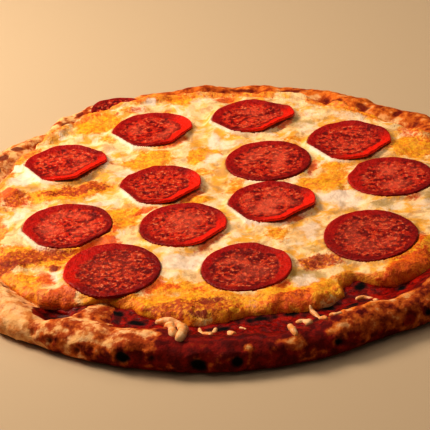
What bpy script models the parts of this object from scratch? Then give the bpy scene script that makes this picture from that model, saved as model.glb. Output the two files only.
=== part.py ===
"""Whole round pepperoni pizza: a hand-stretched dough base with a low uneven rim, a layer of tomato
sauce, a layer of melted cheese with shreds over its edge, and fourteen cupped pepperoni slices.

Metres, +Z up. The origin is the centre of the flat underside, and -Y is the side nearest the viewer.
Azimuths are in degrees from +X, anticlockwise seen from above.
"""

import bmesh
import bpy
from math import atan2, cos, degrees, exp, hypot, pi, radians, sin
from mathutils import Matrix, Vector, noise

MM = 0.001

# The dough base
PIZZA_RADIUS = 144.0 * MM
DOUGH_THICKNESS = 6.8 * MM
CREST_INSET = 10.0 * MM
CREST_HEIGHT = 14.2 * MM
CREST_WAVE = 1.9 * MM
SIDE_WRINKLE = 1.1 * MM
DOUGH_SEGMENTS = 110
# The layers' grids start this far round, so that no two of them line up, which a Boolean needs
DOUGH_START = 0.011
SAUCE_START = 0.037

# The layers over it
SAUCE_LEVEL = 8.9 * MM
SAUCE_COAT = 1.1 * MM
SAUCE_INSET = 16.4 * MM
CHEESE_LEVEL = 12.3 * MM
CHEESE_COAT = 3.0 * MM
CHEESE_EDGE_COAT = 1.2 * MM
CHEESE_EDGE_BLUNTNESS = 0.25
CHEESE_RINGS = 14
# The rings of its rounded edge, as shares of its reach, from where the even grid ends
CHEESE_EDGE_SHARES = (0.955, 0.982, 1.0)
BIG_LUMP = 17 * MM
SMALL_LUMP = 7.5 * MM
BIG_LUMP_HEIGHT = 1.9 * MM
SMALL_LUMP_HEIGHT = 1.0 * MM

# The pepperoni
SLICE_THICKNESS = 2.0 * MM
SLICE_SINK = 0.6 * MM
SLICE_SEGMENTS = 20

# Clearance between two pieces that lie on each other
GAP = 0.45 * MM
# A slice's recess is open above to this height over the slice
RECESS_HEADROOM = 8 * MM
# A layer is made down to this level and its underside is then cut to fit what it lies on
BURIED_LEVEL = 4.0 * MM

# Out-of-round plan of the dough: azimuth, and how far the edge departs from a circle, in mm
EDGE_OFFSETS = (
    (0, 1.5), (18, 1.5), (33, 4.0), (46, -3.0), (56, -2.5), (64, 2.0), (76, -0.5), (90, 1.0), (102, -0.5),
    (110, 0.5), (119, 3.5), (127, 1.0), (137, -6.3), (149, 2.2), (165, 2.0), (185, 0.0), (205, 1.0),
    (222, 1.8), (232, -0.8), (250, -1.0), (270, -0.6), (285, -0.6), (298, -1.8), (310, 2.2), (335, 0.8),
)
# How far the cheese reaches from the centre, in mm
CHEESE_REACH = (
    (0, 124), (14, 127), (25, 128), (46, 124), (59, 126), (68, 130), (83, 127), (97, 128), (109, 131),
    (122, 131.5), (131, 127), (140, 125), (150, 123.5), (157, 122.5), (163, 123), (176, 120), (189, 116),
    (198, 122), (206, 125), (213, 126.5), (220, 126), (225, 124), (229, 119.5), (233, 115), (238, 107),
    (244, 107), (249, 111.5), (256, 114.5), (262, 116), (267, 114), (273, 110), (281, 111.5), (288, 114.5),
    (294, 115), (298, 112), (300.5, 105), (304.5, 104), (308, 116), (310, 121), (319, 126), (330, 121),
    (345, 125),
)
# Knobs of dough that push in from the rim, and sunken pockets: azimuth, radius, angular width,
# radial width, and height, which is negative for a pocket
DOUGH_KNOBS = (
    (237, 118 * MM, 5.5, 9 * MM, 5.2 * MM),
    (257, 123 * MM, 4.0, 7 * MM, 3.6 * MM),
    (27, 121 * MM, 5.0, 7 * MM, 3.4 * MM),
    (148, 123 * MM, 4.0, 6 * MM, 3.0 * MM),
    (191, 124 * MM, 6.0, 7 * MM, 3.2 * MM),
    (344, 123 * MM, 5.0, 7 * MM, 3.0 * MM),
    (229.5, 127 * MM, 3.4, 7 * MM, -5.4 * MM),
    (247, 120 * MM, 4.0, 6 * MM, -1.5 * MM),
    (281, 128 * MM, 4.0, 5 * MM, -2.0 * MM),
    (61, 129 * MM, 4.0, 5 * MM, -2.0 * MM),
    (142, 128 * MM, 4.0, 5 * MM, -2.0 * MM),
    (170, 128 * MM, 3.5, 5 * MM, -3.0 * MM),
    (353, 129 * MM, 3.5, 5 * MM, -2.5 * MM),
)
# Thick rolls of cheese heaped just inside its edge: azimuth, angular width, height, in from the edge
CHEESE_ROLLS = (
    (207, 13, 2.4 * MM, 9 * MM),
    (226, 6, 2.2 * MM, 9 * MM),
    (262, 10, 2.6 * MM, 8 * MM),
    (286, 9, 2.2 * MM, 8 * MM),
    (318, 13, 2.8 * MM, 9 * MM),
    (35, 14, 1.6 * MM, 8 * MM),
    (95, 16, 1.2 * MM, 7 * MM),
    (115, 9, 3.4 * MM, 8 * MM),
    (167, 10, 2.0 * MM, 9 * MM),
)
# Burst blisters in the dough: azimuth, height on the side, radius
BLISTERS = (
    (250, 7.0 * MM, 2.6 * MM),
    (255, 8.5 * MM, 1.8 * MM),
    (264, 5.2 * MM, 3.2 * MM),
    (270, 7.2 * MM, 2.4 * MM),
    (289, 8.4 * MM, 2.2 * MM),
    (308, 7.5 * MM, 2.8 * MM),
    (330, 7.0 * MM, 2.4 * MM),
    (12, 8.0 * MM, 2.6 * MM),
    (66, 8.0 * MM, 2.2 * MM),
    (112, 7.5 * MM, 2.6 * MM),
    (158, 8.0 * MM, 2.4 * MM),
    (196, 7.0 * MM, 2.8 * MM),
)
# Melted shreds that hang over the cheese's edge: azimuth, past the edge, length, width, heading
SHREDS = (
    (258.0, 3.5 * MM, 12.0 * MM, 3.6 * MM, 262),
    (253.5, 1.0 * MM, 9.0 * MM, 3.2 * MM, 215),
    (270.0, 3.0 * MM, 10.0 * MM, 2.8 * MM, 265),
    (281.0, 1.5 * MM, 9.0 * MM, 3.2 * MM, 300),
    (288.0, 2.5 * MM, 9.5 * MM, 2.6 * MM, 300),
    (301.5, 2.0 * MM, 9.0 * MM, 2.8 * MM, 325),
    (38.0, 1.5 * MM, 9.0 * MM, 3.0 * MM, 20),
    (128.0, 1.5 * MM, 8.0 * MM, 3.0 * MM, 150),
    (182.0, 1.5 * MM, 9.0 * MM, 3.2 * MM, 200),
)
# Pepperoni slices: x, y, half width along X, half width along Y, rise of the whole edge, extra rise
# on one side, azimuth of that side, and how much more the near and far edges rise, all lengths in mm
SLICES = {
    "pepperoni_back_left": (-35.9, 83.9, 22.5, 20.6, 1.0, 1.2, 350, 0.7),
    "pepperoni_left": (-82.9, 49.5, 22.4, 21.0, 1.1, 1.5, 310, 0.9),
    "pepperoni_inner_left": (-31.7, 16.3, 21.6, 21.0, 1.1, 1.4, 330, 0.8),
    "pepperoni_mid_left": (-78.6, -20.7, 22.7, 22.6, 1.0, 0.6, 180, 0.2),
    "pepperoni_inner_front": (-20.4, -27.9, 22.0, 21.8, 1.0, 1.0, 320, 0.4),
    "pepperoni_back": (21.3, 92.6, 23.4, 20.4, 1.1, 1.3, 320, 0.8),
    "pepperoni_back_right": (71.3, 53.0, 22.7, 23.0, 1.0, 1.2, 310, 0.8),
    "pepperoni_inner_back": (26.2, 36.4, 22.9, 23.2, 0.9, 0.3, 200, 0.2),
    "pepperoni_inner_right": (25.1, -10.8, 22.4, 21.2, 1.1, 1.5, 315, 0.9),
    "pepperoni_right": (88.3, 8.0, 22.4, 21.4, 1.0, 0.6, 180, 0.3),
    "pepperoni_front_right": (70.8, -51.2, 22.9, 25.6, 0.8, 0.3, 200, 0.0),
    "pepperoni_front_left": (-55.1, -67.3, 23.4, 24.6, 0.8, 0.9, 160, 0.1),
    "pepperoni_front": (8.9, -73.2, 21.6, 22.4, 0.9, 0.7, 0, 0.1),
}
# Where a slice's edge is straight, because it folded up or sank there: azimuth, and how far out the
# straight edge lies, as a share of the slice's reach
STRAIGHT_EDGES = {
    "pepperoni_back_left": ((212, 0.86), (329, 0.88)),
    "pepperoni_left": ((209, 0.87), (323, 0.82), (130, 0.93), (50, 0.93)),
    "pepperoni_inner_left": ((207, 0.84), (315, 0.90), (120, 0.95)),
    "pepperoni_mid_left": ((212, 0.93),),
    "pepperoni_inner_front": ((318, 0.92),),
    "pepperoni_back": ((316, 0.82), (55, 0.88), (212, 0.92)),
    "pepperoni_back_right": ((209, 0.86), (318, 0.88), (50, 0.93)),
    "pepperoni_inner_right": ((210, 0.85), (312, 0.87), (50, 0.93)),
    "pepperoni_right": ((150, 0.95),),
    "pepperoni_front": ((50, 0.93),),
}
# A smaller end slice that is tucked under the cheese, with only its outer part out on the rim
END_SLICE_NAME = "pepperoni_end_at_rim"
END_SLICE_AZIMUTH = 116.5
END_SLICE_RADIUS = 125.5 * MM
END_SLICE_HALF_WIDTH = 15.5 * MM
END_SLICE_HALF_DEPTH = 12.5 * MM
END_SLICE_THICKNESS = 1.8 * MM
END_SLICE_INNER_HEIGHT = 10.2 * MM
END_SLICE_SLOPE = 0.2

COLOURS = {
    "crust": (0.36, 0.13, 0.04),
    "sauce": (0.20, 0.012, 0.004),
    "cheese": (0.86, 0.47, 0.14),
    "pepperoni": (0.38, 0.032, 0.014),
}
ROUGHNESS = {"crust": 0.75, "sauce": 0.25, "cheese": 0.4, "pepperoni": 0.35}


def clear_scene():
    """Removes every object, so that only the pizza is left."""
    for old in list(bpy.data.objects):
        bpy.data.objects.remove(old)


def eased(t):
    """0 to 1 with level ends."""
    t = min(max(t, 0.0), 1.0)
    return t * t * (3 - 2 * t)


def around(table, azimuth):
    """The value at an azimuth, eased between the pairs of a table that closes on itself."""
    azimuth %= 360
    pairs = list(table) + [(table[0][0] + 360, table[0][1])]
    if azimuth < pairs[0][0]:
        azimuth += 360
    for (start, low), (end, high) in zip(pairs, pairs[1:]):
        if start <= azimuth <= end:
            return low + (high - low) * eased((azimuth - start) / (end - start))
    return pairs[0][1]


def turn_between(a, b):
    """The smaller angle between two azimuths."""
    return abs((a - b + 180) % 360 - 180)


def hump(distance, width):
    """A bell curve: 1 at no distance, and nearly 0 past twice the width."""
    return exp(-((distance / width) ** 2))


def wave(x, y, size, layer):
    """Smooth noise of about that size, one layer for each use."""
    return noise.noise(Vector((x / size, y / size, layer * 7.3)))


def plan_scale(azimuth):
    """How much larger the dough's plan is than the circle at this azimuth."""
    return 1 + around(EDGE_OFFSETS, azimuth) * MM / PIZZA_RADIUS


# The dough's upper side, from the widest point over the crest to the level well: radius, height
DOUGH_TOP = (
    (PIZZA_RADIUS, 6.6 * MM),
    (PIZZA_RADIUS - 1.2 * MM, 9.8 * MM),
    (PIZZA_RADIUS - 4.6 * MM, 12.9 * MM),
    (PIZZA_RADIUS - CREST_INSET, CREST_HEIGHT),
    (PIZZA_RADIUS - 15.0 * MM, 12.6 * MM),
    (PIZZA_RADIUS - 20.0 * MM, 8.9 * MM),
    (PIZZA_RADIUS - 26.5 * MM, DOUGH_THICKNESS),
    (0.0, DOUGH_THICKNESS),
)
DOUGH_UNDERSIDE = (
    (0.0, 0.0),
    (PIZZA_RADIUS - 4.5 * MM, 0.0),
    (PIZZA_RADIUS - 0.8 * MM, 2.6 * MM),
)
WELL_RADIUS = PIZZA_RADIUS - 33 * MM
SAUCE_EDGE = PIZZA_RADIUS - SAUCE_INSET


def dough_rise(radius, azimuth, highest_knob):
    """How much the rim and its knobs rise above the even profile, at a radius of the unscaled plan."""
    x = radius * cos(radians(azimuth))
    y = radius * sin(radians(azimuth))
    share = eased((radius - WELL_RADIUS) / (PIZZA_RADIUS - CREST_INSET - WELL_RADIUS))
    rise = share * CREST_WAVE * (wave(x, y, 26 * MM, 1) + 0.7 * wave(x, y, 11 * MM, 2))
    for centre, reach, turn, width, height in DOUGH_KNOBS:
        if height <= highest_knob:
            rise += height * hump(turn_between(azimuth, centre), turn) * hump(radius - reach, width)
    return rise


def dough_top(x, y, highest_knob=1.0):
    """Height of the dough's upper side over a point of the plan, with the knobs up to that height."""
    azimuth = degrees(atan2(y, x))
    radius = hypot(x, y) / plan_scale(azimuth)
    height = DOUGH_TOP[0][1]
    for (outer, high), (inner, low) in zip(DOUGH_TOP, DOUGH_TOP[1:]):
        if inner <= radius <= outer:
            height = low + (high - low) * (radius - inner) / (outer - inner)
            break
    return height + dough_rise(radius, azimuth, highest_knob)


def cheese_top(x, y, lumpy=True):
    """Height of the cheese's upper side, which drapes over the rim where it reaches it."""
    azimuth = degrees(atan2(y, x))
    edge = around(CHEESE_REACH, azimuth) * MM
    level = CHEESE_LEVEL
    if lumpy:
        level += BIG_LUMP_HEIGHT * wave(x, y, BIG_LUMP, 3)
        level += SMALL_LUMP_HEIGHT * wave(x, y, SMALL_LUMP, 4)
    level = max(level, dough_top(x, y) + CHEESE_COAT)
    for centre, turn, height, inset in CHEESE_ROLLS:
        level += height * hump(turn_between(azimuth, centre), turn) * hump(hypot(x, y) - edge + inset, inset)
    return level


def material_of(kind):
    """One finish for each kind of food."""
    found = bpy.data.materials.get(kind)
    if found:
        return found
    made = bpy.data.materials.new(kind)
    made.use_nodes = True
    shader = made.node_tree.nodes["Principled BSDF"]
    shader.inputs["Base Color"].default_value = (*COLOURS[kind], 1)
    shader.inputs["Roughness"].default_value = ROUGHNESS[kind]
    shader.inputs["Metallic"].default_value = 0.0
    made.diffuse_color = (*COLOURS[kind], 1)
    return made


def turned_mesh(profile, segments, start=0.0):
    """A closed solid turned about Z from a profile that runs from the axis below to the axis above."""
    mesh = bmesh.new()
    side = Vector((cos(start), sin(start), 0))
    chain = [mesh.verts.new(radius * side + Vector((0, 0, height))) for radius, height in profile]
    edges = [mesh.edges.new(pair) for pair in zip(chain, chain[1:])]
    bmesh.ops.spin(mesh, geom=chain + edges, cent=(0, 0, 0), axis=(0, 0, 1), angle=2 * pi,
                   steps=segments, use_merge=True)
    bmesh.ops.remove_doubles(mesh, verts=mesh.verts, dist=0.01 * MM)
    bmesh.ops.recalc_face_normals(mesh, faces=mesh.faces)
    return mesh


def object_from(mesh, name, kind=None):
    """Puts a bmesh in the scene under a name, smooth except at sharp corners."""
    data = bpy.data.meshes.new(name)
    bmesh.ops.triangulate(mesh, faces=mesh.faces)
    mesh.to_mesh(data)
    mesh.free()
    data.shade_smooth()
    data.set_sharp_from_angle(angle=radians(50))
    made = bpy.data.objects.new(name, data)
    bpy.context.scene.collection.objects.link(made)
    if kind:
        data.materials.append(material_of(kind))
    return made


def as_cutter(made, collection):
    """Turns an object into a helper of a collection, which isn't part of the model."""
    made.hide_render = True
    made.display_type = "WIRE"
    bpy.context.scene.collection.objects.unlink(made)
    collection.objects.link(made)


def helper_collection(name):
    """A collection for the pieces that a Boolean joins or cuts with."""
    made = bpy.data.collections.new(name)
    bpy.context.scene.collection.children.link(made)
    return made


def add_boolean(target, name, operation, collection):
    """Joins a collection to an object, or cuts it from it."""
    modifier = target.modifiers.new(name, "BOOLEAN")
    modifier.operation = operation
    modifier.operand_type = "COLLECTION"
    modifier.collection = collection
    modifier.solver = "EXACT"


def dough_mesh(swell):
    """The dough's solid, or with a swell the larger shape that a layer over it is cut with."""
    upper = [(radius, height + swell) for radius, height in DOUGH_TOP]
    mesh = turned_mesh([*DOUGH_UNDERSIDE, *upper], DOUGH_SEGMENTS, DOUGH_START)
    for vertex in mesh.verts:
        radius = hypot(vertex.co.x, vertex.co.y)
        azimuth = degrees(atan2(vertex.co.y, vertex.co.x))
        scale = plan_scale(azimuth)
        share = eased(vertex.co.z / (5 * MM))
        height = vertex.co.z + share * dough_rise(radius, azimuth, 1.0)
        side = eased((radius - PIZZA_RADIUS + 12 * MM) / (10 * MM)) * share
        wrinkle = SIDE_WRINKLE * noise.noise(Vector(vertex.co) / (9 * MM))
        scale += side * (wrinkle + swell) / PIZZA_RADIUS
        vertex.co = (vertex.co.x * scale, vertex.co.y * scale, height)
    return mesh


def add_crust():
    """The dough, with the burst blisters sunk into its side."""
    crust = object_from(dough_mesh(0.0), "crust", "crust")
    pits = helper_collection("blister_pits")
    for azimuth, height, size in BLISTERS:
        turn = radians(azimuth)
        radius = PIZZA_RADIUS * plan_scale(azimuth) + 0.25 * size
        place = Matrix.Translation((radius * cos(turn), radius * sin(turn), height))
        mesh = bmesh.new()
        bmesh.ops.create_icosphere(mesh, subdivisions=1, radius=size, matrix=place)
        as_cutter(object_from(mesh, f"blister_{azimuth}"), pits)
    add_boolean(crust, "burst blisters", "DIFFERENCE", pits)
    return crust


def boundary_edges(mesh):
    """The edges of an open mesh's outline."""
    return [edge for edge in mesh.edges if edge.is_boundary]


def extruded_outline(mesh):
    """Extrudes the outline of an open mesh, and gives its new vertices."""
    made = bmesh.ops.extrude_edge_only(mesh, edges=boundary_edges(mesh))
    return [item for item in made["geom"] if isinstance(item, bmesh.types.BMVert)]


def sauce_mesh(swell):
    """The sauce, or with a swell the larger shape that the cheese is cut with. Knobs rise out of it."""
    rings = [(radius, SAUCE_LEVEL) for radius, _ in DOUGH_TOP if radius < SAUCE_EDGE]
    outline = [(0.0, BURIED_LEVEL), (SAUCE_EDGE, BURIED_LEVEL), (SAUCE_EDGE, SAUCE_LEVEL)]
    mesh = turned_mesh([*outline, *rings], DOUGH_SEGMENTS, SAUCE_START)
    for vertex in mesh.verts:
        scale = plan_scale(degrees(atan2(vertex.co.y, vertex.co.x)))
        x = vertex.co.x * scale
        y = vertex.co.y * scale
        height = vertex.co.z
        if height > BURIED_LEVEL + MM:
            height = max(SAUCE_LEVEL, dough_top(x, y, 0.0) + SAUCE_COAT) + swell
        if hypot(x, y) / scale > SAUCE_EDGE - 0.1 * MM:
            x *= 1 + swell / SAUCE_EDGE
            y *= 1 + swell / SAUCE_EDGE
        vertex.co = (x, y, height)
    return mesh


def cheese_reach(azimuth):
    """Distance of the cheese's edge from the centre."""
    return around(CHEESE_REACH, azimuth) * MM + 1.0 * MM * wave(azimuth, 3, 4, 6)


def rounded_cheese_top(x, y, share):
    """The cheese's height, rounded down at its edge."""
    full = cheese_top(x, y)
    low = max(SAUCE_LEVEL, dough_top(x, y)) + CHEESE_EDGE_COAT
    start = CHEESE_EDGE_SHARES[0]
    drop = (1 - CHEESE_EDGE_BLUNTNESS) * eased((share - start) / (1 - start))
    return low + (full - low) * (1 - drop)


def shred_bed(x, y):
    """The height that a shred drapes over: the cheese, and past its edge the sauce or the dough."""
    share = hypot(x, y) / cheese_reach(degrees(atan2(y, x)))
    if share < 1:
        return rounded_cheese_top(x, y, share)
    return max(SAUCE_LEVEL, dough_top(x, y) + SAUCE_COAT)


def add_shreds(collection):
    """Short melted strips that drape over the cheese's edge, later fused to it."""
    for number, (azimuth, past_edge, length, width, heading) in enumerate(SHREDS):
        radius = cheese_reach(azimuth) + past_edge
        mesh = bmesh.new()
        place = Matrix.Translation((radius * cos(radians(azimuth)), radius * sin(radians(azimuth)), 0))
        turn = Matrix.Rotation(radians(heading), 4, "Z")
        size = Matrix.Diagonal((length / 2, width / 2, 0.45 * width, 1))
        bmesh.ops.create_icosphere(mesh, subdivisions=2, radius=1, matrix=place @ turn @ size)
        for vertex in mesh.verts:
            vertex.co.z += shred_bed(vertex.co.x, vertex.co.y) + 0.2 * width
        as_cutter(object_from(mesh, f"shred_{number}"), collection)


def add_sauce(cutters):
    """The sauce, cut to fit the dough."""
    sauce = object_from(sauce_mesh(0.0), "sauce", "sauce")
    add_boolean(sauce, "fit to the dough", "DIFFERENCE", cutters)
    return sauce


def rounded_square(u, v):
    """The point of a unit disc for a point of the square from -1 to 1, with even rings."""
    if abs(u) > abs(v):
        return u * cos(pi / 4 * v / u), u * sin(pi / 4 * v / u)
    if v == 0:
        return 0.0, 0.0
    return v * sin(pi / 4 * u / v), v * cos(pi / 4 * u / v)


def cheese_mesh():
    """The layer of cheese: an even grid over its top, a rounded edge, and a buried underside."""
    flat, *edge_rings = CHEESE_EDGE_SHARES
    mesh = bmesh.new()
    bmesh.ops.create_grid(mesh, x_segments=2 * CHEESE_RINGS, y_segments=2 * CHEESE_RINGS, size=1)
    for vertex in mesh.verts:
        u, v = rounded_square(vertex.co.x, vertex.co.y)
        vertex.co = (u * flat, v * flat, 0)
    for share in edge_rings:
        for vertex in extruded_outline(mesh):
            vertex.co *= share / vertex.co.length
    for vertex in mesh.verts:
        share = hypot(vertex.co.x, vertex.co.y)
        reach = cheese_reach(degrees(atan2(vertex.co.y, vertex.co.x)))
        x = vertex.co.x * reach
        y = vertex.co.y * reach
        vertex.co = (x, y, rounded_cheese_top(x, y, share))
    for vertex in extruded_outline(mesh):
        vertex.co.z = BURIED_LEVEL
    bmesh.ops.edgeloop_fill(mesh, edges=boundary_edges(mesh))
    bmesh.ops.recalc_face_normals(mesh, faces=mesh.faces)
    return mesh


def add_cheese(shreds, cutters):
    """The cheese with its shreds, cut to fit the dough, the sauce and the slices."""
    cheese = object_from(cheese_mesh(), "cheese", "cheese")
    add_boolean(cheese, "melted shreds", "UNION", shreds)
    add_boolean(cheese, "fit to what it touches", "DIFFERENCE", cutters)
    shape = bpy.data.meshes.new_from_object(cheese.evaluated_get(bpy.context.evaluated_depsgraph_get()))
    cheese.modifiers.clear()
    cheese.data = shape
    for shred in list(shreds.objects):
        bpy.data.objects.remove(shred)
    return cheese


def disc_mesh(bottom, top):
    """A slice's flat disc of unit radius between two levels, with a ring part way to bend it by."""
    profile = ((0, bottom), (0.62, bottom), (0.985, bottom), (1, top), (0.62, top), (0, top))
    return turned_mesh(profile, SLICE_SEGMENTS)


def slice_outline(name, azimuth):
    """A slice's outline as a share of its round one."""
    share = 1.0
    for side, reach in STRAIGHT_EDGES.get(name, ()):
        share = min(share, reach / max(reach, cos(azimuth - radians(side))))
    return share


def slice_mesh(name, bottom, top, grow):
    """A slice's disc between two levels above its bed, bent into its cup. Grow widens it."""
    x0, y0, half_x, half_y, rise, extra, side, fold = SLICES[name]
    mesh = disc_mesh(bottom, top)
    for vertex in mesh.verts:
        share = hypot(vertex.co.x, vertex.co.y)
        azimuth = atan2(vertex.co.y, vertex.co.x)
        outline = slice_outline(name, azimuth)
        x = x0 * MM + vertex.co.x * (outline * half_x * MM + grow)
        y = y0 * MM + vertex.co.y * (outline * half_y * MM + grow)
        cup = rise + extra * max(0.0, cos(azimuth - radians(side))) + fold * abs(sin(azimuth))
        height = cheese_top(x, y, lumpy=False) - SLICE_SINK + cup * MM * share ** 3
        vertex.co = (x, y, height + vertex.co.z)
    return mesh


def end_slice_mesh(bottom, top, grow):
    """The tucked slice between two levels above its sloping bed, which clears the dough and sauce."""
    mesh = disc_mesh(bottom, top)
    turn = radians(END_SLICE_AZIMUTH)
    for vertex in mesh.verts:
        across = END_SLICE_RADIUS + vertex.co.x * (END_SLICE_HALF_DEPTH + grow)
        along = vertex.co.y * (END_SLICE_HALF_WIDTH + grow)
        x = across * cos(turn) - along * sin(turn)
        y = across * sin(turn) + along * cos(turn)
        line = END_SLICE_INNER_HEIGHT + END_SLICE_SLOPE * (across - END_SLICE_RADIUS + END_SLICE_HALF_DEPTH)
        clear = dough_top(x, y) + SAUCE_COAT + 2 * GAP
        vertex.co = (x, y, max(line, clear) + vertex.co.z)
    return mesh


def add_slices(cutters):
    """The pepperoni, and for each the larger shape that leaves its recess in the cheese."""
    for name in SLICES:
        object_from(slice_mesh(name, 0.0, SLICE_THICKNESS, 0.0), name, "pepperoni")
        recess = slice_mesh(name, -GAP, SLICE_THICKNESS + RECESS_HEADROOM, GAP)
        as_cutter(object_from(recess, f"{name}_recess"), cutters)
    object_from(end_slice_mesh(0.0, END_SLICE_THICKNESS, 0.0), END_SLICE_NAME, "pepperoni")
    slot = end_slice_mesh(-GAP, END_SLICE_THICKNESS + GAP, GAP)
    as_cutter(object_from(slot, f"{END_SLICE_NAME}_slot"), cutters)


def main():
    clear_scene()
    under_sauce = helper_collection("under_the_sauce")
    under_cheese = helper_collection("under_the_cheese")
    shreds = helper_collection("shreds")
    add_crust()
    dough_clearance = object_from(dough_mesh(GAP), "dough_clearance")
    as_cutter(dough_clearance, under_sauce)
    under_cheese.objects.link(dough_clearance)
    add_sauce(under_sauce)
    as_cutter(object_from(sauce_mesh(GAP), "sauce_clearance"), under_cheese)
    add_slices(under_cheese)
    add_shreds(shreds)
    add_cheese(shreds, under_cheese)


main()
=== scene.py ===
# %% [markdown]
# # A pepperoni pizza, dressed over its solid model
# The real thing is a hand-stretched dough base with a low, uneven rim, a thin layer of tomato
# sauce, a layer of melted cheese that has browned in places, and slices of pepperoni that cupped in
# the oven. The solid model already has those pieces at their true size and place. This lesson keeps
# it as a fixed frame and models a finer surface for each piece, so that sizes never drift from it.

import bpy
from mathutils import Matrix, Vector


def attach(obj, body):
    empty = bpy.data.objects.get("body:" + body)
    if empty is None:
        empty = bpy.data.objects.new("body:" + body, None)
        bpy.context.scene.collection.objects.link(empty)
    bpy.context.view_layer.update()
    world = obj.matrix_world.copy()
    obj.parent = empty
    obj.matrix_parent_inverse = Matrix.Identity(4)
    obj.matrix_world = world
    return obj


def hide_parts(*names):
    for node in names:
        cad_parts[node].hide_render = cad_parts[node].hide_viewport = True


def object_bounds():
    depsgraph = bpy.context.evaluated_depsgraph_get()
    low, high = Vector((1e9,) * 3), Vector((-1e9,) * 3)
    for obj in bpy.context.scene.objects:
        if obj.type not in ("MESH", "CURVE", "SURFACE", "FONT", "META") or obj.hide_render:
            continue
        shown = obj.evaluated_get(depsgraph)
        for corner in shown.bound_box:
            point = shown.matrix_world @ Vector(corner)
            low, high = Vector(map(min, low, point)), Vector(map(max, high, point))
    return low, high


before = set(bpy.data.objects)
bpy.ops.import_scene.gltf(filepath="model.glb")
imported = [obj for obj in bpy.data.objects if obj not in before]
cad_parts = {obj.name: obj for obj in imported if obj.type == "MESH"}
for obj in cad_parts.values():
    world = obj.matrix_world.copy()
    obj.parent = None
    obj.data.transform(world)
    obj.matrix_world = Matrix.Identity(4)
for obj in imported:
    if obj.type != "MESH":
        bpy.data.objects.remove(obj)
CAD_BOX = [[float(value) for value in corner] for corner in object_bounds()]
print("solid model, mm:", [round(1000 * (high - low), 1) for low, high in zip(*CAD_BOX)])

# %% Libraries
from math import cos, pi, radians, sin

import bmesh
import bpy
import numpy as np
from mathutils import Matrix, Vector, noise

MM = 0.001
scene = bpy.context.scene

# %% [markdown]
# ## Camera
# The picture was taken from low in front of the pizza, with a long lens and the camera slightly
# rolled. A camera object could be aimed with a constraint, but a matrix made from its right, up and
# backward directions states the roll plainly and leaves nothing live in the scene.

# %% Camera
SENSOR_WIDTH = 36
PICTURE_PIXELS = 430
FOCAL_PIXELS = 1600
CAMERA_DISTANCE = 0.8338
CAMERA_ELEVATION = radians(28.65)
CAMERA_ROLL = 0.07
CAMERA_AIM = Vector((-0.0042, 0.0052, 0))

look = Vector((0, cos(CAMERA_ELEVATION), -sin(CAMERA_ELEVATION)))
level = Vector((1, 0, 0))
upright = Vector((0, sin(CAMERA_ELEVATION), cos(CAMERA_ELEVATION)))
right = cos(CAMERA_ROLL) * level - sin(CAMERA_ROLL) * upright
up = sin(CAMERA_ROLL) * level + cos(CAMERA_ROLL) * upright

camera_data = bpy.data.cameras.new("camera")
camera_data.sensor_width = SENSOR_WIDTH
camera_data.lens = SENSOR_WIDTH * FOCAL_PIXELS / PICTURE_PIXELS
camera = bpy.data.objects.new("camera", camera_data)
camera.matrix_world = (Matrix.Translation(CAMERA_AIM - CAMERA_DISTANCE * look)
                       @ Matrix((right, up, -look)).transposed().to_4x4())
scene.collection.objects.link(camera)
scene.camera = camera
print("lens, mm:", round(camera_data.lens, 1))

# %% [markdown]
# ## Light and floor
# Food looks its best with soft light from the side and slightly behind: it rakes over the lumps of
# cheese, shines on the oil, and leaves the near side of the crust in shade. One soft lamp from the
# left does that, a weaker one behind gives the wet shine, and a wide one above fills the shadows.
# The world is almost dark, because its reflection would lie over the deep reds like a grey veil.
# All of them are warm, as the light in a kitchen is.

# %% Light and floor
def add_lamp(name, azimuth, elevation, distance, size, power, colour):
    """A square soft lamp that points at the pizza."""
    turn, tilt = radians(azimuth), radians(elevation)
    away = Vector((cos(turn) * cos(tilt), sin(turn) * cos(tilt), sin(tilt)))
    data = bpy.data.lights.new(name, "AREA")
    data.size = size
    data.energy = power
    data.color = colour
    lamp = bpy.data.objects.new(name, data)
    facing = away.to_track_quat("Z", "Y").to_matrix().to_4x4()
    lamp.matrix_world = Matrix.Translation(distance * away) @ facing
    scene.collection.objects.link(lamp)


add_lamp("key_lamp", 156, 42, 0.82, 0.28, 9.0, (1.0, 0.87, 0.72))
add_lamp("back_lamp", 70, 58, 1.3, 0.60, 3, (1.0, 0.92, 0.82))
add_lamp("top_lamp", 200, 82, 1.4, 1.20, 5, (1.0, 0.87, 0.72))

world = bpy.data.worlds.new("dim_warm_world")
world.use_nodes = True
background = world.node_tree.nodes["Background"]
background.inputs["Color"].default_value = (1.0, 0.86, 0.70, 1)
background.inputs["Strength"].default_value = 0.09
scene.world = world
scene.view_settings.view_transform = "Standard"
scene.view_settings.gamma = 0.86

FLOOR_GAP = 0.05 * MM
floor_mesh = bmesh.new()
bmesh.ops.create_grid(floor_mesh, x_segments=1, y_segments=1, size=3)
bmesh.ops.translate(floor_mesh, verts=floor_mesh.verts, vec=(0, 0, -FLOOR_GAP))
floor_data = bpy.data.meshes.new("floor")
floor_mesh.to_mesh(floor_data)
floor_mesh.free()
floor_material = bpy.data.materials.new("tan_floor")
floor_material.use_nodes = True
floor_shader = floor_material.node_tree.nodes["Principled BSDF"]
floor_shader.inputs["Base Color"].default_value = (0.55, 0.42, 0.28, 1)
floor_shader.inputs["Roughness"].default_value = 0.75
floor_shader.inputs["Specular IOR Level"].default_value = 0.1
floor_data.materials.append(floor_material)
floor = bpy.data.objects.new("floor", floor_data)
scene.collection.objects.link(floor)

# %% [markdown]
# ## The pizza's plan and levels
# A stretched dough is never a true circle, and its rim rolls up and down. The solid model says how
# far with a few tables: how much the outline departs from a circle by azimuth, where knobs of dough
# push in, and how far the cheese reaches. The surfaces below read the same tables, so each of them
# lies exactly where its solid does. Azimuths are degrees from +X, anticlockwise from above, and the
# near side is at 270.

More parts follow.
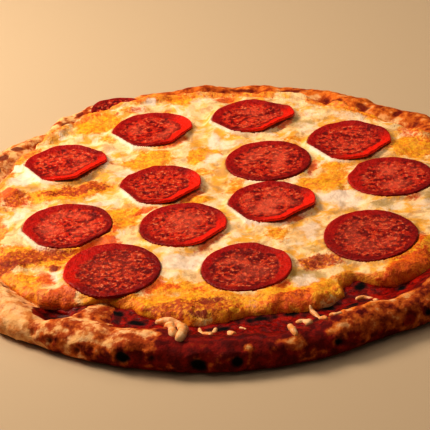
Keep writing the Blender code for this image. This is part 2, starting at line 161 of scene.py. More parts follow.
# %% Sizes of the layers
PIZZA_RADIUS = 144.0 * MM
CREST_INSET = 10.0 * MM
CREST_WAVE = 1.9 * MM
SIDE_WRINKLE = 1.1 * MM
WELL_RADIUS = PIZZA_RADIUS - 33 * MM
SAUCE_LEVEL = 8.9 * MM
SAUCE_COAT = 1.1 * MM
SAUCE_EDGE = PIZZA_RADIUS - 16.4 * MM
CHEESE_LEVEL = 12.3 * MM
CHEESE_COAT = 3.0 * MM

# Radius and height, from the well out over the crest to the widest point
DOUGH_TOP = (
    (0.0, 6.8 * MM),
    (PIZZA_RADIUS - 26.5 * MM, 6.8 * MM),
    (PIZZA_RADIUS - 20.0 * MM, 8.9 * MM),
    (PIZZA_RADIUS - 15.0 * MM, 12.6 * MM),
    (PIZZA_RADIUS - CREST_INSET, 14.2 * MM),
    (PIZZA_RADIUS - 4.6 * MM, 12.9 * MM),
    (PIZZA_RADIUS - 1.2 * MM, 9.8 * MM),
    (PIZZA_RADIUS, 6.6 * MM),
)
# Azimuth, and how far the edge departs from a circle, in mm
EDGE_OFFSETS = (
    (0, 1.5), (18, 1.5), (33, 4.0), (46, -3.0), (56, -2.5), (64, 2.0), (76, -0.5), (90, 1.0),
    (102, -0.5), (110, 0.5), (119, 3.5), (127, 1.0), (137, -6.3), (149, 2.2), (165, 2.0),
    (185, 0.0), (205, 1.0), (222, 1.8), (232, -0.8), (250, -1.0), (270, -0.6), (285, -0.6),
    (298, -1.8), (310, 2.2), (335, 0.8),
)
# Azimuth, and how far the cheese reaches from the centre, in mm
CHEESE_REACH = (
    (0, 124), (14, 127), (25, 128), (46, 124), (59, 127), (68, 130.5), (83, 128.5), (97, 129.5),
    (109, 132), (122, 132.5), (131, 129.5), (140, 126.5), (150, 125), (157, 124), (163, 124),
    (176, 121), (189, 116), (198, 122), (206, 125), (213, 126.5), (220, 126), (225, 124),
    (229, 119.5), (233, 115), (238, 107), (244, 107), (249, 111.5), (256, 114.5), (262, 116),
    (267, 114), (273, 110), (281, 111.5), (288, 114.5), (294, 115), (298, 112), (300.5, 105),
    (304.5, 104), (308, 116), (310, 121), (319, 126), (330, 121), (345, 125),
)
# Knobs of dough, and pockets with a negative height: azimuth, radius in mm, angular width, radial
# width in mm, and height in mm
DOUGH_KNOBS = (
    (237, 118, 5.5, 9, 5.2), (257, 123, 4.0, 7, 3.6), (27, 121, 5.0, 7, 3.4),
    (148, 123, 4.0, 6, 3.0), (191, 124, 6.0, 7, 3.2), (344, 123, 5.0, 7, 3.0),
    (229.5, 128.5, 3.8, 7.5, -6.2), (247, 120, 4.0, 6, -1.5), (281, 128, 4.0, 5, -2.0),
    (61, 129, 4.0, 5, -2.0), (142, 128, 4.0, 5, -2.0), (170, 128, 3.5, 5, -3.0),
    (353, 129, 3.5, 5, -2.5),
)
# Rolls of cheese along its edge: azimuth, angular width, height in mm, and distance in from the
# edge in mm
CHEESE_ROLLS = (
    (207, 13, 2.4, 9), (226, 6, 2.2, 9), (262, 10, 2.6, 8), (286, 9, 2.2, 8), (318, 13, 2.8, 9),
    (35, 14, 1.6, 8), (95, 16, 1.2, 7), (115, 9, 3.4, 8), (167, 10, 2.0, 9),
)

# %% Helpers for smooth shapes
def eased(t):
    """0 to 1 with level ends."""
    t = np.clip(t, 0.0, 1.0)
    return t * t * (3 - 2 * t)


def hump(distance, width):
    """A bell curve: 1 at no distance, and nearly 0 past twice the width."""
    return np.exp(-((distance / width) ** 2))


def turn_between(a, b):
    """The smaller angle between azimuths, in degrees."""
    return np.abs((a - b + 180) % 360 - 180)


def around(table, azimuth):
    """The value at each azimuth, eased between the pairs of a table that closes on itself."""
    table = np.array([*table, (table[0][0] + 360, table[0][1])], dtype=float)
    azimuth = np.mod(azimuth, 360)
    low = np.clip(np.searchsorted(table[:, 0], azimuth, side="right") - 1, 0, len(table) - 2)
    start, end = table[low], table[low + 1]
    share = eased((azimuth - start[..., 0]) / (end[..., 0] - start[..., 0]))
    return start[..., 1] + (end[..., 1] - start[..., 1]) * share


def wave(x, y, size, layer):
    """Smooth noise from -1 to 1 over the plan, one layer for each use."""
    spots = zip((x / size).tolist(), (y / size).tolist())
    return np.array([noise.noise((a, b, layer * 7.3)) for a, b in spots])


def grain(places, size, layer):
    """Smooth noise from -1 to 1 in space."""
    return np.array([noise.noise(spot) for spot in (places / size + 3.1 * layer).tolist()])


print("eased(0.5) =", float(eased(0.5)), " hump at its width =", round(float(hump(1.0, 1.0)), 3))

# %% Levels over the plan
ANY_KNOB = max(height for *_, height in DOUGH_KNOBS)


def plan_scale(azimuth):
    """How much larger the dough's plan is than the circle at this azimuth."""
    return 1 + around(EDGE_OFFSETS, azimuth) * MM / PIZZA_RADIUS


def dough_rise(radius, azimuth, highest_knob=ANY_KNOB):
    """How much the rim and its knobs rise above the even profile."""
    x, y = radius * np.cos(np.radians(azimuth)), radius * np.sin(np.radians(azimuth))
    share = eased((radius - WELL_RADIUS) / (PIZZA_RADIUS - CREST_INSET - WELL_RADIUS))
    rise = share * CREST_WAVE * (wave(x, y, 26 * MM, 1) + 0.7 * wave(x, y, 11 * MM, 2))
    for centre, reach, turn, width, height in DOUGH_KNOBS:
        if height <= highest_knob:
            lump = hump(turn_between(azimuth, centre), turn) * hump(radius - reach * MM, width * MM)
            rise += height * MM * lump
    return rise


def dough_top(x, y, highest_knob=ANY_KNOB):
    """Height of the dough's upper side."""
    azimuth = np.degrees(np.arctan2(y, x))
    radius = np.hypot(x, y) / plan_scale(azimuth)
    return np.interp(radius, *zip(*DOUGH_TOP)) + dough_rise(radius, azimuth, highest_knob)


def cheese_edge(azimuth):
    """Distance of the cheese's edge from the centre."""
    return around(CHEESE_REACH, azimuth) * MM + MM * wave(azimuth, np.full_like(azimuth, 3.0), 4, 6)


def cheese_top(x, y, dough, lumps=1.0):
    """Height of the cheese's upper side over a dough height, with a share of its lumps."""
    azimuth = np.degrees(np.arctan2(y, x))
    height = np.full_like(x, CHEESE_LEVEL)
    if lumps:
        height += lumps * (1.9 * MM * wave(x, y, 17 * MM, 3) + 1.0 * MM * wave(x, y, 7.5 * MM, 4))
    height = np.maximum(height, dough + CHEESE_COAT)
    inside = np.hypot(x, y) - around(CHEESE_REACH, azimuth) * MM
    for centre, turn, rise, inset in CHEESE_ROLLS:
        roll = hump(turn_between(azimuth, centre), turn) * hump(inside + inset * MM, inset * MM)
        height += rise * MM * roll
    return height


def from_spot(radius, azimuth, spot_azimuth, spot_radius, half_length, half_width):
    """Distance from a spot along the rim, 1 at its outline. The spot's sizes are in mm."""
    beside = turn_between(azimuth, spot_azimuth) * pi / 180 * spot_radius / half_length
    return np.hypot(beside, (radius / MM - spot_radius) / half_width)


print("plan of the rim, mm:", [round(float(PIZZA_RADIUS * plan_scale(turn) / MM), 1)
                               for turn in np.array([0.0, 90.0, 180.0, 270.0])])

# %% Helpers for meshes
def turned(profile, segments):
    """A closed body turned about Z from (radius, height) pairs that start and end on the axis."""
    mesh = bmesh.new()
    chain = [mesh.verts.new((radius, 0, height)) for radius, height in profile]
    edges = [mesh.edges.new(pair) for pair in zip(chain, chain[1:])]
    bmesh.ops.spin(mesh, geom=chain + edges, cent=(0, 0, 0), axis=(0, 0, 1), angle=2 * pi,
                   steps=segments, use_merge=True)
    bmesh.ops.remove_doubles(mesh, verts=mesh.verts, dist=0.001 * MM)
    bmesh.ops.recalc_face_normals(mesh, faces=mesh.faces)
    return mesh


def places_of(mesh):
    """The vertices of a bmesh as an array."""
    return np.array([vertex.co for vertex in mesh.verts])


def normals_of(mesh):
    """The vertex normals of a bmesh as an array."""
    mesh.normal_update()
    return np.array([vertex.normal for vertex in mesh.verts])


def move_to(mesh, places):
    """Puts the vertices of a bmesh at these places."""
    for vertex, spot in zip(mesh.verts, places.tolist()):
        vertex.co = spot


def outline_of(mesh):
    """The edges of an open mesh's outline."""
    return [edge for edge in mesh.edges if edge.is_boundary]


def add_piece(mesh, name, finish, slot, marks, *nodes):
    """Puts a bmesh in the scene as a piece that stands for nodes of the solid. Marks are painted on
    its vertices, for its finish to read."""
    data = bpy.data.meshes.new(name)
    mesh.to_mesh(data)
    mesh.free()
    data.shade_smooth()
    data.materials.append(finish)
    for mark, values in marks.items():
        layer = data.attributes.new(mark, "FLOAT", "POINT")
        layer.data.foreach_set("value", np.clip(values, 0, 1).astype(np.float32))
    piece = bpy.data.objects.new(name, data)
    scene.collection.objects.link(piece)
    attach(piece, "root")
    if nodes:
        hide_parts(*nodes)
    triangles = sum(len(face.vertices) - 2 for face in data.polygons)
    top = max(vertex.co.z for vertex in data.vertices) / MM
    print(f"{name}: {triangles} triangles, top at {top:.1f} mm")


# %% [markdown]
# ## A small language for finishes
# Food colours come from many masks laid over each other: where it browned, where oil pooled, where
# flour stayed. Wiring each by hand hides the recipe, so one class wraps an output socket and lets
# the masks be written as plain arithmetic, and another holds a material and adds its nodes.

# %% Shader helpers
class Wire:
    """An output socket that adds Math nodes as it is used in arithmetic."""

    def __init__(self, finish, socket):
        self.finish, self.socket = finish, socket

    def maths(self, operation, *values):
        """Adds a Math node on these values."""
        return self.finish.node("ShaderNodeMath", {"operation": operation}, dict(enumerate(values)))

    def __add__(self, other):
        return self.maths("ADD", self, other)

    def __sub__(self, other):
        return self.maths("SUBTRACT", self, other)

    def __mul__(self, other):
        return self.maths("MULTIPLY", self, other)

    def __rsub__(self, other):
        return self.maths("SUBTRACT", other, self)

    __radd__ = __add__
    __rmul__ = __mul__

    def between(self, low, high):
        """0 below the low value, 1 above the high one, and eased between."""
        ranges = {"Value": self, "From Min": low, "From Max": high}
        settings = {"interpolation_type": "SMOOTHSTEP"}
        return self.finish.node("ShaderNodeMapRange", settings, ranges)


class Finish:
    """A material with one Principled shader, and the nodes that feed it."""

    def __init__(self, name):
        self.material = bpy.data.materials.new(name)
        self.material.use_nodes = True
        self.tree = self.material.node_tree
        self.shader = self.tree.nodes["Principled BSDF"]
        self.place = self.node("ShaderNodeTexCoord", {}, {}, "Object")

    def node(self, kind, settings, sockets, output=0):
        """Adds a node: its settings are set first, then the values or links of its sockets."""
        made = self.tree.nodes.new(kind)
        for name, value in settings.items():
            setattr(made, name, value)
        self.feed(made, sockets)
        return Wire(self, made.outputs[output])

    def feed(self, made, sockets):
        """Links or sets the sockets of a node."""
        for name, value in sockets.items():
            if isinstance(value, Wire):
                self.tree.links.new(value.socket, made.inputs[name])
            else:
                made.inputs[name].default_value = value

    def mark(self, name):
        """A mark painted on the vertices."""
        return self.node("ShaderNodeAttribute", {"attribute_name": name}, {}, "Fac")

    def speckle(self, size, detail=2.0, roughness=0.5, distortion=0.0):
        """Cloudy noise from 0 to 1 with features of about that size."""
        sockets = {"Vector": self.place, "Scale": 1 / size, "Detail": detail,
                   "Roughness": roughness, "Distortion": distortion}
        return self.node("ShaderNodeTexNoise", {}, sockets, "Fac")

    def cells(self, size):
        """Distance to the nearest of scattered points of about that spacing."""
        sockets = {"Vector": self.place, "Scale": 1 / size}
        return self.node("ShaderNodeTexVoronoi", {"feature": "F1"}, sockets, "Distance")

    def blend(self, share, base, over):
        """One colour laid over another by a mask. A Mix node has sockets for each kind of data:
        0 is the share, and 6, 7 and output 2 are the colours."""
        return self.node("ShaderNodeMix", {"data_type": "RGBA"}, {0: share, 6: base, 7: over}, 2)

    def wear(self, **sockets):
        """Sets the shader's own sockets: names use _ for a space."""
        self.feed(self.shader, {name.replace("_", " "): value for name, value in sockets.items()})

    def relief(self, height, depth):
        """Turns a height from 0 to 1 into small bumps of that depth in metres."""
        self.wear(Normal=self.node("ShaderNodeBump", {}, {"Height": height, "Distance": depth}))


def screen(red, green, blue):
    """The linear colour of a screen colour from 0 to 255."""
    return (*[(value / 255 / 12.92) if value <= 10 else ((value / 255 + 0.055) / 1.055) ** 2.4
              for value in (red, green, blue)], 1)


print("cream in linear light:", [round(value, 3) for value in screen(250, 217, 181)])

# %% [markdown]
# ## Crust
# The rim of a hand-stretched dough is a row of bubbles: some burst and charred, some stayed pale
# with flour, and the side wrinkles as it sets. The base shape is a profile turned about the middle,
# then the tables make it uneven, and finally bubbles, wrinkles and burst blisters are pushed in and
# out along the surface's own normals, as a sculptor would.

# %% Crust profile
# Radius and height in mm, from the middle of the underside round the rim and back to the middle
CRUST_PROFILE = (
    (0, 0), (40, 0), (80, 0), (110, 0), (125, 0), (133, 0), (139.5, 0), (142.1, 0.9), (143.2, 2.6),
    (143.8, 4.6), (144, 6.6), (143.6, 8.5), (142.8, 10.0), (141.4, 11.7), (139.4, 13.0),
    (136.8, 13.9), (134, 14.2), (131.4, 13.7), (129, 12.6), (126.4, 10.8), (124, 9.0), (121, 7.7),
    (117, 6.8), (100, 6.8), (0, 6.8),
)
RIM_FROM = 116
RIM_STEP = 0.75
FLAT_STEP = 18
CRUST_SEGMENTS = 700
CURVE_SAMPLES = 4000
CURVE_WINDOW = 41


def finer(profile):
    """The profile in mm with more points along its rim, on a smooth curve through them."""
    points = np.array(profile, dtype=float)
    length = np.concatenate([[0], np.cumsum(np.hypot(*np.diff(points, axis=0).T))])
    dense = np.linspace(0, length[-1], CURVE_SAMPLES)
    curve = np.column_stack([np.interp(dense, length, column) for column in points.T])
    kernel = np.hanning(CURVE_WINDOW) / np.hanning(CURVE_WINDOW).sum()
    half = CURVE_WINDOW // 2
    smooth = curve.copy()
    for axis in (0, 1):
        smooth[half:-half, axis] = np.convolve(curve[:, axis], kernel, mode="valid")
    kept, last = [points[0]], 0.0
    for spot, at in zip(smooth, dense):
        if at - last >= (RIM_STEP if spot[0] > RIM_FROM else FLAT_STEP):
            kept.append(spot)
            last = at
    return [(radius * MM, height * MM) for radius, height in [*kept, points[-1]]]


crust_profile = finer(CRUST_PROFILE)
print("points in the crust's profile:", len(crust_profile))

# %% Crust shape
# Blisters that burst: azimuth, height on the side and radius in mm, and darkness
BLISTERS = (
    (249.6, 7.4, 3.9, 1.0), (255, 8.8, 2.5, 0.6), (263.5, 5.4, 4.3, 1.0), (270.5, 7.0, 3.3, 1.0),
    (289, 8.4, 2.6, 0.8), (308, 7.5, 2.6, 0.8), (330, 7.0, 2.4, 1.0), (12, 8.0, 2.6, 1.0),
    (66, 8.0, 2.2, 1.0), (112, 7.5, 2.6, 0.9), (158, 8.0, 2.4, 0.8), (196, 7.0, 2.8, 0.3),
    (234.5, 8.0, 2.8, 0.55), (236.8, 11.0, 1.8, 0.5), (240.4, 6.6, 2.6, 0.5),
    (230.5, 8.8, 2.2, 0.35), (226, 4.5, 2.2, 0.2), (243.5, 9.4, 1.8, 0.35), (219, 8.5, 2.4, 0.15),
)
# Dark baked spots on top of the rim, and pale bare ones with a negative darkness: azimuth, radius,
# half length along the rim and half width in mm, and darkness
RIM_SPOTS = (
    (82, 132.9, 11, 2.2, 0.8), (70.5, 132.6, 10, 2.8, 0.8), (57, 130.2, 5, 2.7, 0.9),
    (49, 130.5, 6.5, 3.4, 0.8), (40, 133.4, 2.6, 3.3, 0.8), (33.4, 128.8, 2.8, 3.4, 0.7),
    (25.5, 126.5, 2.6, 3.6, 0.7), (12, 132, 6, 3, 0.6), (352, 131, 5, 3, 0.7),
    (146.6, 131.5, 4.2, 3.6, 1.0), (152, 131, 4.2, 3.4, 1.0), (141, 129, 3.4, 3.4, 0.9),
    (136, 133, 2.6, 2.6, 0.8), (131, 131, 4.0, 3.4, 1.0), (125, 135, 4, 3, 0.9),
    (157, 129, 3, 3, 0.9), (163, 131.5, 3.5, 3, 0.8), (170, 128, 3, 3, 0.8), (176, 131, 4, 3, 0.7),
    (188, 131, 3.4, 2.6, 0.8), (203, 131, 3.5, 2.8, 0.7), (207, 127.5, 2.2, 2.2, 0.9),
    (211, 129.5, 3.2, 2.0, 0.7), (214, 126.5, 2.4, 2.0, 0.8), (217.5, 129.5, 2.2, 1.8, 0.5),
    (222, 127, 2.0, 2.0, 0.6), (318, 130, 3.5, 2.5, 0.6), (335, 131, 4.5, 3, 0.7),
    (344, 127, 3, 2.5, 0.6), (281, 140.5, 7, 3.0, -0.8), (289, 139.5, 5, 2.5, -0.9),
    (294, 128.5, 7, 3.2, -0.8), (299, 132.5, 6, 2.0, -0.9), (306, 133, 9, 1.8, -0.9),
    (272.5, 139.5, 3, 1.8, -0.6), (254, 133, 6, 3, -0.7), (313, 139.5, 5, 3, -0.6),
)
crust_mesh = turned(crust_profile, CRUST_SEGMENTS)
places = places_of(crust_mesh)
flat_radius = np.hypot(places[:, 0], places[:, 1])
azimuth = np.degrees(np.arctan2(places[:, 1], places[:, 0]))
share = eased(places[:, 2] / (5 * MM))
side = eased((flat_radius - PIZZA_RADIUS + 12 * MM) / (10 * MM)) * share
scale = plan_scale(azimuth) + side * SIDE_WRINKLE * grain(places, 9 * MM, 0) / PIZZA_RADIUS
places[:, 2] += share * dough_rise(flat_radius, azimuth)
places[:, :2] *= scale[:, None]
move_to(crust_mesh, places)

# Bubbles, wrinkles and grain, only where the rim shows
outer = eased((flat_radius - 117 * MM) / (8 * MM)) * eased(places[:, 2] / (2.5 * MM))
normals = normals_of(crust_mesh)
bubbles = np.array([noise.voronoi(spot)[0][0] for spot in (places / (8.5 * MM)).tolist()])
folds = 1 - np.abs(grain(places * (1, 1, 0.6), 11 * MM, 5)) * 2.4
push = 0.55 * MM * (0.55 - bubbles) + 0.42 * MM * np.clip(folds, 0, 1) ** 2 - 0.35 * MM
push += 0.30 * MM * grain(places, 3.2 * MM, 6) + 0.14 * MM * grain(places, 1.4 * MM, 7)

charred_and_shade = np.zeros(len(places))
blister_edge = 1 + 0.25 * grain(places, 2.5 * MM, 8)
for turn, height, size, dark in BLISTERS:
    reach = PIZZA_RADIUS * plan_scale(np.array([turn]))[0]
    centre = np.array([reach * cos(radians(turn)), reach * sin(radians(turn)), height * MM])
    distance = np.linalg.norm(places - centre, axis=1) * blister_edge
    ridge = 0.18 * hump(distance - 1.25 * size * MM, 0.5 * size * MM)
    push += MM * size * (ridge - 0.5 * hump(distance, 0.8 * size * MM))
    charred_and_shade = np.maximum(charred_and_shade, 1.25 * dark * hump(distance, 0.95 * size * MM))
spotted = np.zeros(len(places))
spot_edge = 0.45 * grain(places, 3.5 * MM, 9)
for *spot, dark in RIM_SPOTS:
    distance = from_spot(flat_radius, azimuth, *spot) + spot_edge
    spotted += dark * (1 - eased(distance / 1.35)) * (places[:, 2] > 3 * MM)
push -= 0.5 * MM * spotted
places += normals * (push * outer)[:, None]
places = np.clip(places, *np.array(CAD_BOX))
move_to(crust_mesh, places)
print("crust pushed by, mm:", round(push.min() / MM, 2), "to", round(push.max() / MM, 2))

# %% Marks for the crust's finish
# How deeply the side and the lip baked by azimuth, with the side darkest on the near side partly as
# painted shade, and the radius in mm that the sauce stained
SIDE_BAKE_AND_SHADE = (
    (0, 0.65), (30, 0.55), (60, 0.6), (90, 0.5), (120, 0.5), (150, 0.4), (180, 0.3), (205, 0.1),
    (226, 0.12), (232, 0.5), (236, 0.75), (243, 0.8), (248, 0.95), (255, 1.2), (285, 1.15),
    (300, 0.95), (318, 0.7), (340, 0.65),
)
LIP_BAKE = (
    (0, 0.5), (30, 0.45), (60, 0.35), (90, 0.5), (130, 0.28), (150, 0.25), (180, 0.22), (205, 0.08),
    (228, 0.15), (234, 0.4), (246, 0.4), (253, 0.55), (258, 1.1), (286, 1.1), (291, 0.65),
    (300, 0.6), (312, 0.65), (335, 0.45),
)
STAIN_REACH = (
    (0, 124), (20, 110), (60, 110), (200, 110), (232, 110), (251, 112), (257, 120), (261, 137),
    (284, 137), (290, 131), (300, 131.5), (310, 133), (322, 130.5), (340, 127),
)
# Places where sauce filled a pocket of the rim, each black in its middle, partly burnt and partly
# painted shade in the hollow: azimuth, radius, half length along the rim and half width in mm
SAUCE_POCKETS = (
    (229.0, 125.5, 10.5, 7.0), (233, 118, 5, 5), (239.5, 112, 5, 4.5), (244.5, 114, 8, 5.5),
    (250, 118, 6, 3.6), (295.5, 126, 5.5, 2.6),
)
# How much orange oil and browned cheese the rim took up, by azimuth
RIM_OIL = (
    (0, 0.6), (20, 0.8), (45, 0.75), (75, 0.8), (100, 0.85), (118, 0.5), (130, 0.15), (165, 0.2),
    (185, 0.3), (200, 0.05), (226, 0.05), (236, 0.35), (250, 0.3), (258, 0.6), (300, 0.6),
    (330, 0.7),
)
top_side = eased((places[:, 2] - 9.5 * MM) / (3 * MM))
mottle = 0.5 * grain(places, 7 * MM, 10) + 0.35 * grain(places, 2.6 * MM, 11)
# The side is darkest on the near side, which faces away from the key lamp: partly baking, partly
# painted shade
baked = (1 - top_side) * around(SIDE_BAKE_AND_SHADE, azimuth) + top_side * around(LIP_BAKE, azimuth)
baked += 0.6 * mottle
# The side is darker towards its bottom
low_edge = 1 - eased(places[:, 2] / (4 * MM))
baked += 0.2 * low_edge - 0.35 * np.clip(folds, 0, 1) * (1 - top_side) + np.minimum(spotted, 0)
upper_side = eased((places[:, 2] - 5 * MM) / (3 * MM))
stain_edge = around(STAIN_REACH, azimuth) * MM + 4 * MM * mottle
stained = eased((stain_edge - flat_radius) / (3 * MM)) * upper_side
for spot in SAUCE_POCKETS:
    distance = from_spot(flat_radius, azimuth, *spot) + 0.5 * mottle
    stained = np.maximum(stained, 1 - eased((distance - 0.7) / 0.5))
    # The middle of each pocket is black, partly burnt and partly painted shade in the hollow
    charred_and_shade = np.maximum(charred_and_shade, 0.9 * hump(distance, 0.5))
stained += np.minimum(spotted, 0)
oiled = around(RIM_OIL, azimuth) * (0.4 + 0.6 * top_side) + 0.5 * mottle
underneath = (places[:, 2] < 0.5 * MM).astype(float)
crust_marks = {"baked": baked, "charred_and_shade": charred_and_shade, "spotted": spotted, "stained": stained,
               "oiled": oiled, "underneath": underneath}
print("share of the crust's points that charred:", round(float((charred_and_shade > 0.5).mean()), 3))

# %% Crust finish
crust_finish = Finish("baked_dough")
baked = crust_finish.mark("baked")
mottled = crust_finish.speckle(4.2 * MM, 3, 0.55)
fine = crust_finish.speckle(0.9 * MM, 2, 0.6)
dusted = crust_finish.speckle(6 * MM, 4, 0.65)
tan = crust_finish.blend(mottled.between(0.38, 0.62), screen(238, 182, 118), screen(208, 128, 60))
tan = crust_finish.blend(dusted.between(0.45, 0.64) * 0.65, tan, screen(248, 204, 152))
brown = crust_finish.blend(mottled.between(0.35, 0.65), screen(138, 18, 5), screen(88, 4, 2))
amber = crust_finish.blend(mottled.between(0.4, 0.6), screen(204, 104, 32), screen(168, 66, 14))
uneven = baked + 0.85 * (mottled - 0.5) + 0.3 * (fine - 0.5)
oil_mask = (crust_finish.mark("oiled") + 0.9 * (mottled - 0.5)).between(0.3, 0.75)
colour = crust_finish.blend(oil_mask, tan, screen(226, 122, 34))
colour = crust_finish.blend(uneven.between(0.2, 0.55), colour, amber)
colour = crust_finish.blend(uneven.between(0.5, 0.9), colour, brown)
sauced = crust_finish.blend(mottled.between(0.4, 0.6), screen(86, 2, 1), screen(140, 18, 4))
stain_mask = (crust_finish.mark("stained") + 0.6 * (mottled - 0.5)).between(0.35, 0.7)
colour = crust_finish.blend(stain_mask, colour, sauced)
spot_mask = crust_finish.mark("spotted").between(0.15, 0.6) * (0.75 + 0.25 * fine)
colour = crust_finish.blend(spot_mask, colour, screen(104, 4, 2))
# Black where blisters burst, and painted shade in the middle of the sauce pockets
char_and_shade_mask = crust_finish.mark("charred_and_shade").between(0.25, 0.8)
colour = crust_finish.blend(char_and_shade_mask, colour, screen(6, 1, 1))
leopard = crust_finish.cells(9 * MM)
under = crust_finish.blend((leopard + 0.5 * (dusted - 0.5)).between(0.22, 0.5), screen(96, 44, 20),
                           screen(216, 170, 118))
colour = crust_finish.blend(crust_finish.mark("underneath"), colour, under)
wet = crust_finish.mark("stained").between(0.4, 0.8)
crust_finish.wear(Base_Color=colour, Roughness=0.8 - 0.4 * wet, Specular_IOR_Level=0.12)
crust_finish.relief(0.6 * mottled + 0.4 * fine, 0.8 * MM)

add_piece(crust_mesh, "crust_surface", crust_finish.material, "crust", crust_marks, "crust")

# %% [markdown]
# ## Sauce
# Tomato sauce shows only where the cheese falls short of the rim: dark, wet and lumpy, and
# caramelised to black at its edge, with black painted shade in the gaps under the cheese's edge. It
# is a turned disc whose outer part follows the dough, with a glossy finish.

# %% Sauce shape
# Azimuth, and how far the sauce reaches, as a share of its even disc
SAUCE_SHARE = ((0, 0.97), (20, 0.95), (234, 0.95), (238, 1.0), (340, 1.0))
# Black spots, partly baked sauce and partly painted shade in the gaps under the cheese's edge:
# azimuth, radius, half length, half width, in mm
SAUCE_CHAR_AND_SHADE_SPOTS = (
    (277, 112.8, 9, 3.0), (284, 113, 4, 2.4), (292.9, 115.5, 5.5, 3.4), (297.3, 121.4, 3.5, 2.8),
    (304, 109, 4.4, 3.2), (268, 119, 4, 2), (310, 124, 3, 2), (295.5, 124.5, 5, 2.6),
    (325, 127, 5, 1.6), (242, 112, 5, 2.4), (248, 117, 5, 2.4), (289, 121, 3, 1.6),
)
sauce_profile = [(0, 7.0), (60, 7.0), (100, 7.0), (124, 7.0), (127.4, 7.0), (127.6, 7.6)]
sauce_profile += [(radius, 8.9) for radius in np.arange(127.4, 98, -0.8)] + [(60, 8.9), (0, 8.9)]
sauce_mesh = turned([(radius * MM, height * MM) for radius, height in sauce_profile], 640)
places = places_of(sauce_mesh)
flat_radius = np.hypot(places[:, 0], places[:, 1])
azimuth = np.degrees(np.arctan2(places[:, 1], places[:, 0]))
# Only the near side's sauce reaches out past the cheese
places[:, :2] *= (plan_scale(azimuth) * around(SAUCE_SHARE, azimuth))[:, None]
upper = places[:, 2] > 8 * MM
bed = dough_top(places[:, 0], places[:, 1], 0.0)
lumps = 0.55 * MM * grain(places, 4.5 * MM, 12) + 0.30 * MM * grain(places, 1.8 * MM, 13)
places[:, 2] = np.where(upper, np.maximum(SAUCE_LEVEL, bed + SAUCE_COAT) + lumps, places[:, 2])
# The outer edge thins out and sinks into the dough
thin = eased((flat_radius - SAUCE_EDGE + 4 * MM) / (4 * MM))
places[:, 2] -= np.where(upper, thin * 1.5 * MM, 0)
lower = np.minimum(places[:, 2] + np.maximum(bed - 7 * MM, 0) * 0.7, bed)
places[:, 2] = np.where(upper, places[:, 2], lower)
move_to(sauce_mesh, places)
char_and_shade = 0.7 * eased((grain(places, 7 * MM, 14) - 0.30) / 0.25)
char_edge = 0.5 * grain(places, 3 * MM, 15)
# Black spots where the sauce baked, partly painted shade in the gaps under the cheese's edge
for spot in SAUCE_CHAR_AND_SHADE_SPOTS:
    distance = from_spot(np.hypot(places[:, 0], places[:, 1]), azimuth, *spot) + char_edge
    char_and_shade = np.maximum(char_and_shade, 1.1 * (1 - eased((distance - 0.4) / 0.9)))
sauce_marks = {"charred_and_shade": char_and_shade * upper}
print("sauce out to, mm:", round(float(np.hypot(places[:, 0], places[:, 1]).max() / MM), 1))

# %% Sauce finish
sauce_finish = Finish("baked_tomato_sauce")
lumpy = sauce_finish.speckle(2.4 * MM, 3, 0.6)
patchy = sauce_finish.speckle(6 * MM, 2, 0.5)
colour = sauce_finish.blend(lumpy.between(0.35, 0.65), screen(86, 1, 0), screen(150, 10, 3))
colour = sauce_finish.blend(patchy.between(0.52, 0.66) * 0.7, colour, screen(186, 28, 6))
black = sauce_finish.mark("charred_and_shade")
colour = sauce_finish.blend(black, colour, screen(4, 0, 0))
sauce_finish.wear(Base_Color=colour, Roughness=0.32 + 0.6 * black, Specular_IOR_Level=0.12)
sauce_finish.relief(lumpy, 0.9 * MM)

add_piece(sauce_mesh, "sauce_surface", sauce_finish.material, "sauce", sauce_marks, "sauce")

# %% [markdown]
# ## Pepperoni
# Thin slices of a dense cured sausage. In the oven the edge shrinks and stands up, so each slice
# becomes a shallow cup, darker at its rim, with a painted sheen, a pale highlight on the fat, in
# the middle. Painted light brightens the rim on its lit side and on its far wall, and the slices
# nearer the front are darker with painted shade. Two opposite edges of some slices fold up more, so
# that they look pointed from the side, and each fold has a painted bright band of light outside a
# painted dark crease shadow. One turned disc with a rounded edge is bent by the same rule as the
# solid, with a steeper curl near the rim.

# %% Where the slices lie
# x, y, half widths along X and Y, rise of the whole edge, extra rise on one side, azimuth of that
# side, and how much more the near and far edges rise, all lengths in mm
SLICES = {
    "pepperoni_back_left": (-35.9, 83.9, 22.5, 20.6, 1.0, 1.2, 350, 0.7),
    "pepperoni_left": (-82.9, 49.5, 22.4, 21.0, 1.1, 1.5, 310, 0.9),
    "pepperoni_inner_left": (-31.7, 16.3, 21.6, 21.0, 1.1, 1.4, 330, 0.8),
    "pepperoni_mid_left": (-78.6, -20.7, 22.7, 22.6, 1.0, 0.6, 180, 0.2),
    "pepperoni_inner_front": (-20.4, -27.9, 22.0, 21.8, 1.0, 1.0, 320, 0.4),
    "pepperoni_back": (21.3, 92.6, 23.4, 20.4, 1.1, 1.3, 320, 0.8),
    "pepperoni_back_right": (71.3, 53.0, 22.7, 23.0, 1.0, 1.2, 310, 0.8),
    "pepperoni_inner_back": (26.2, 36.4, 22.9, 23.2, 0.9, 0.3, 200, 0.2),
    "pepperoni_inner_right": (25.1, -10.8, 22.4, 21.2, 1.1, 1.5, 315, 0.9),
    "pepperoni_right": (88.3, 8.0, 22.4, 21.4, 1.0, 0.6, 180, 0.3),
    "pepperoni_front_right": (70.8, -51.2, 22.9, 25.6, 0.8, 0.3, 200, 0.0),
    "pepperoni_front_left": (-55.1, -67.3, 23.4, 24.6, 0.8, 0.9, 160, 0.1),
    "pepperoni_front": (8.9, -73.2, 21.6, 22.4, 0.9, 0.7, 0, 0.1),
}
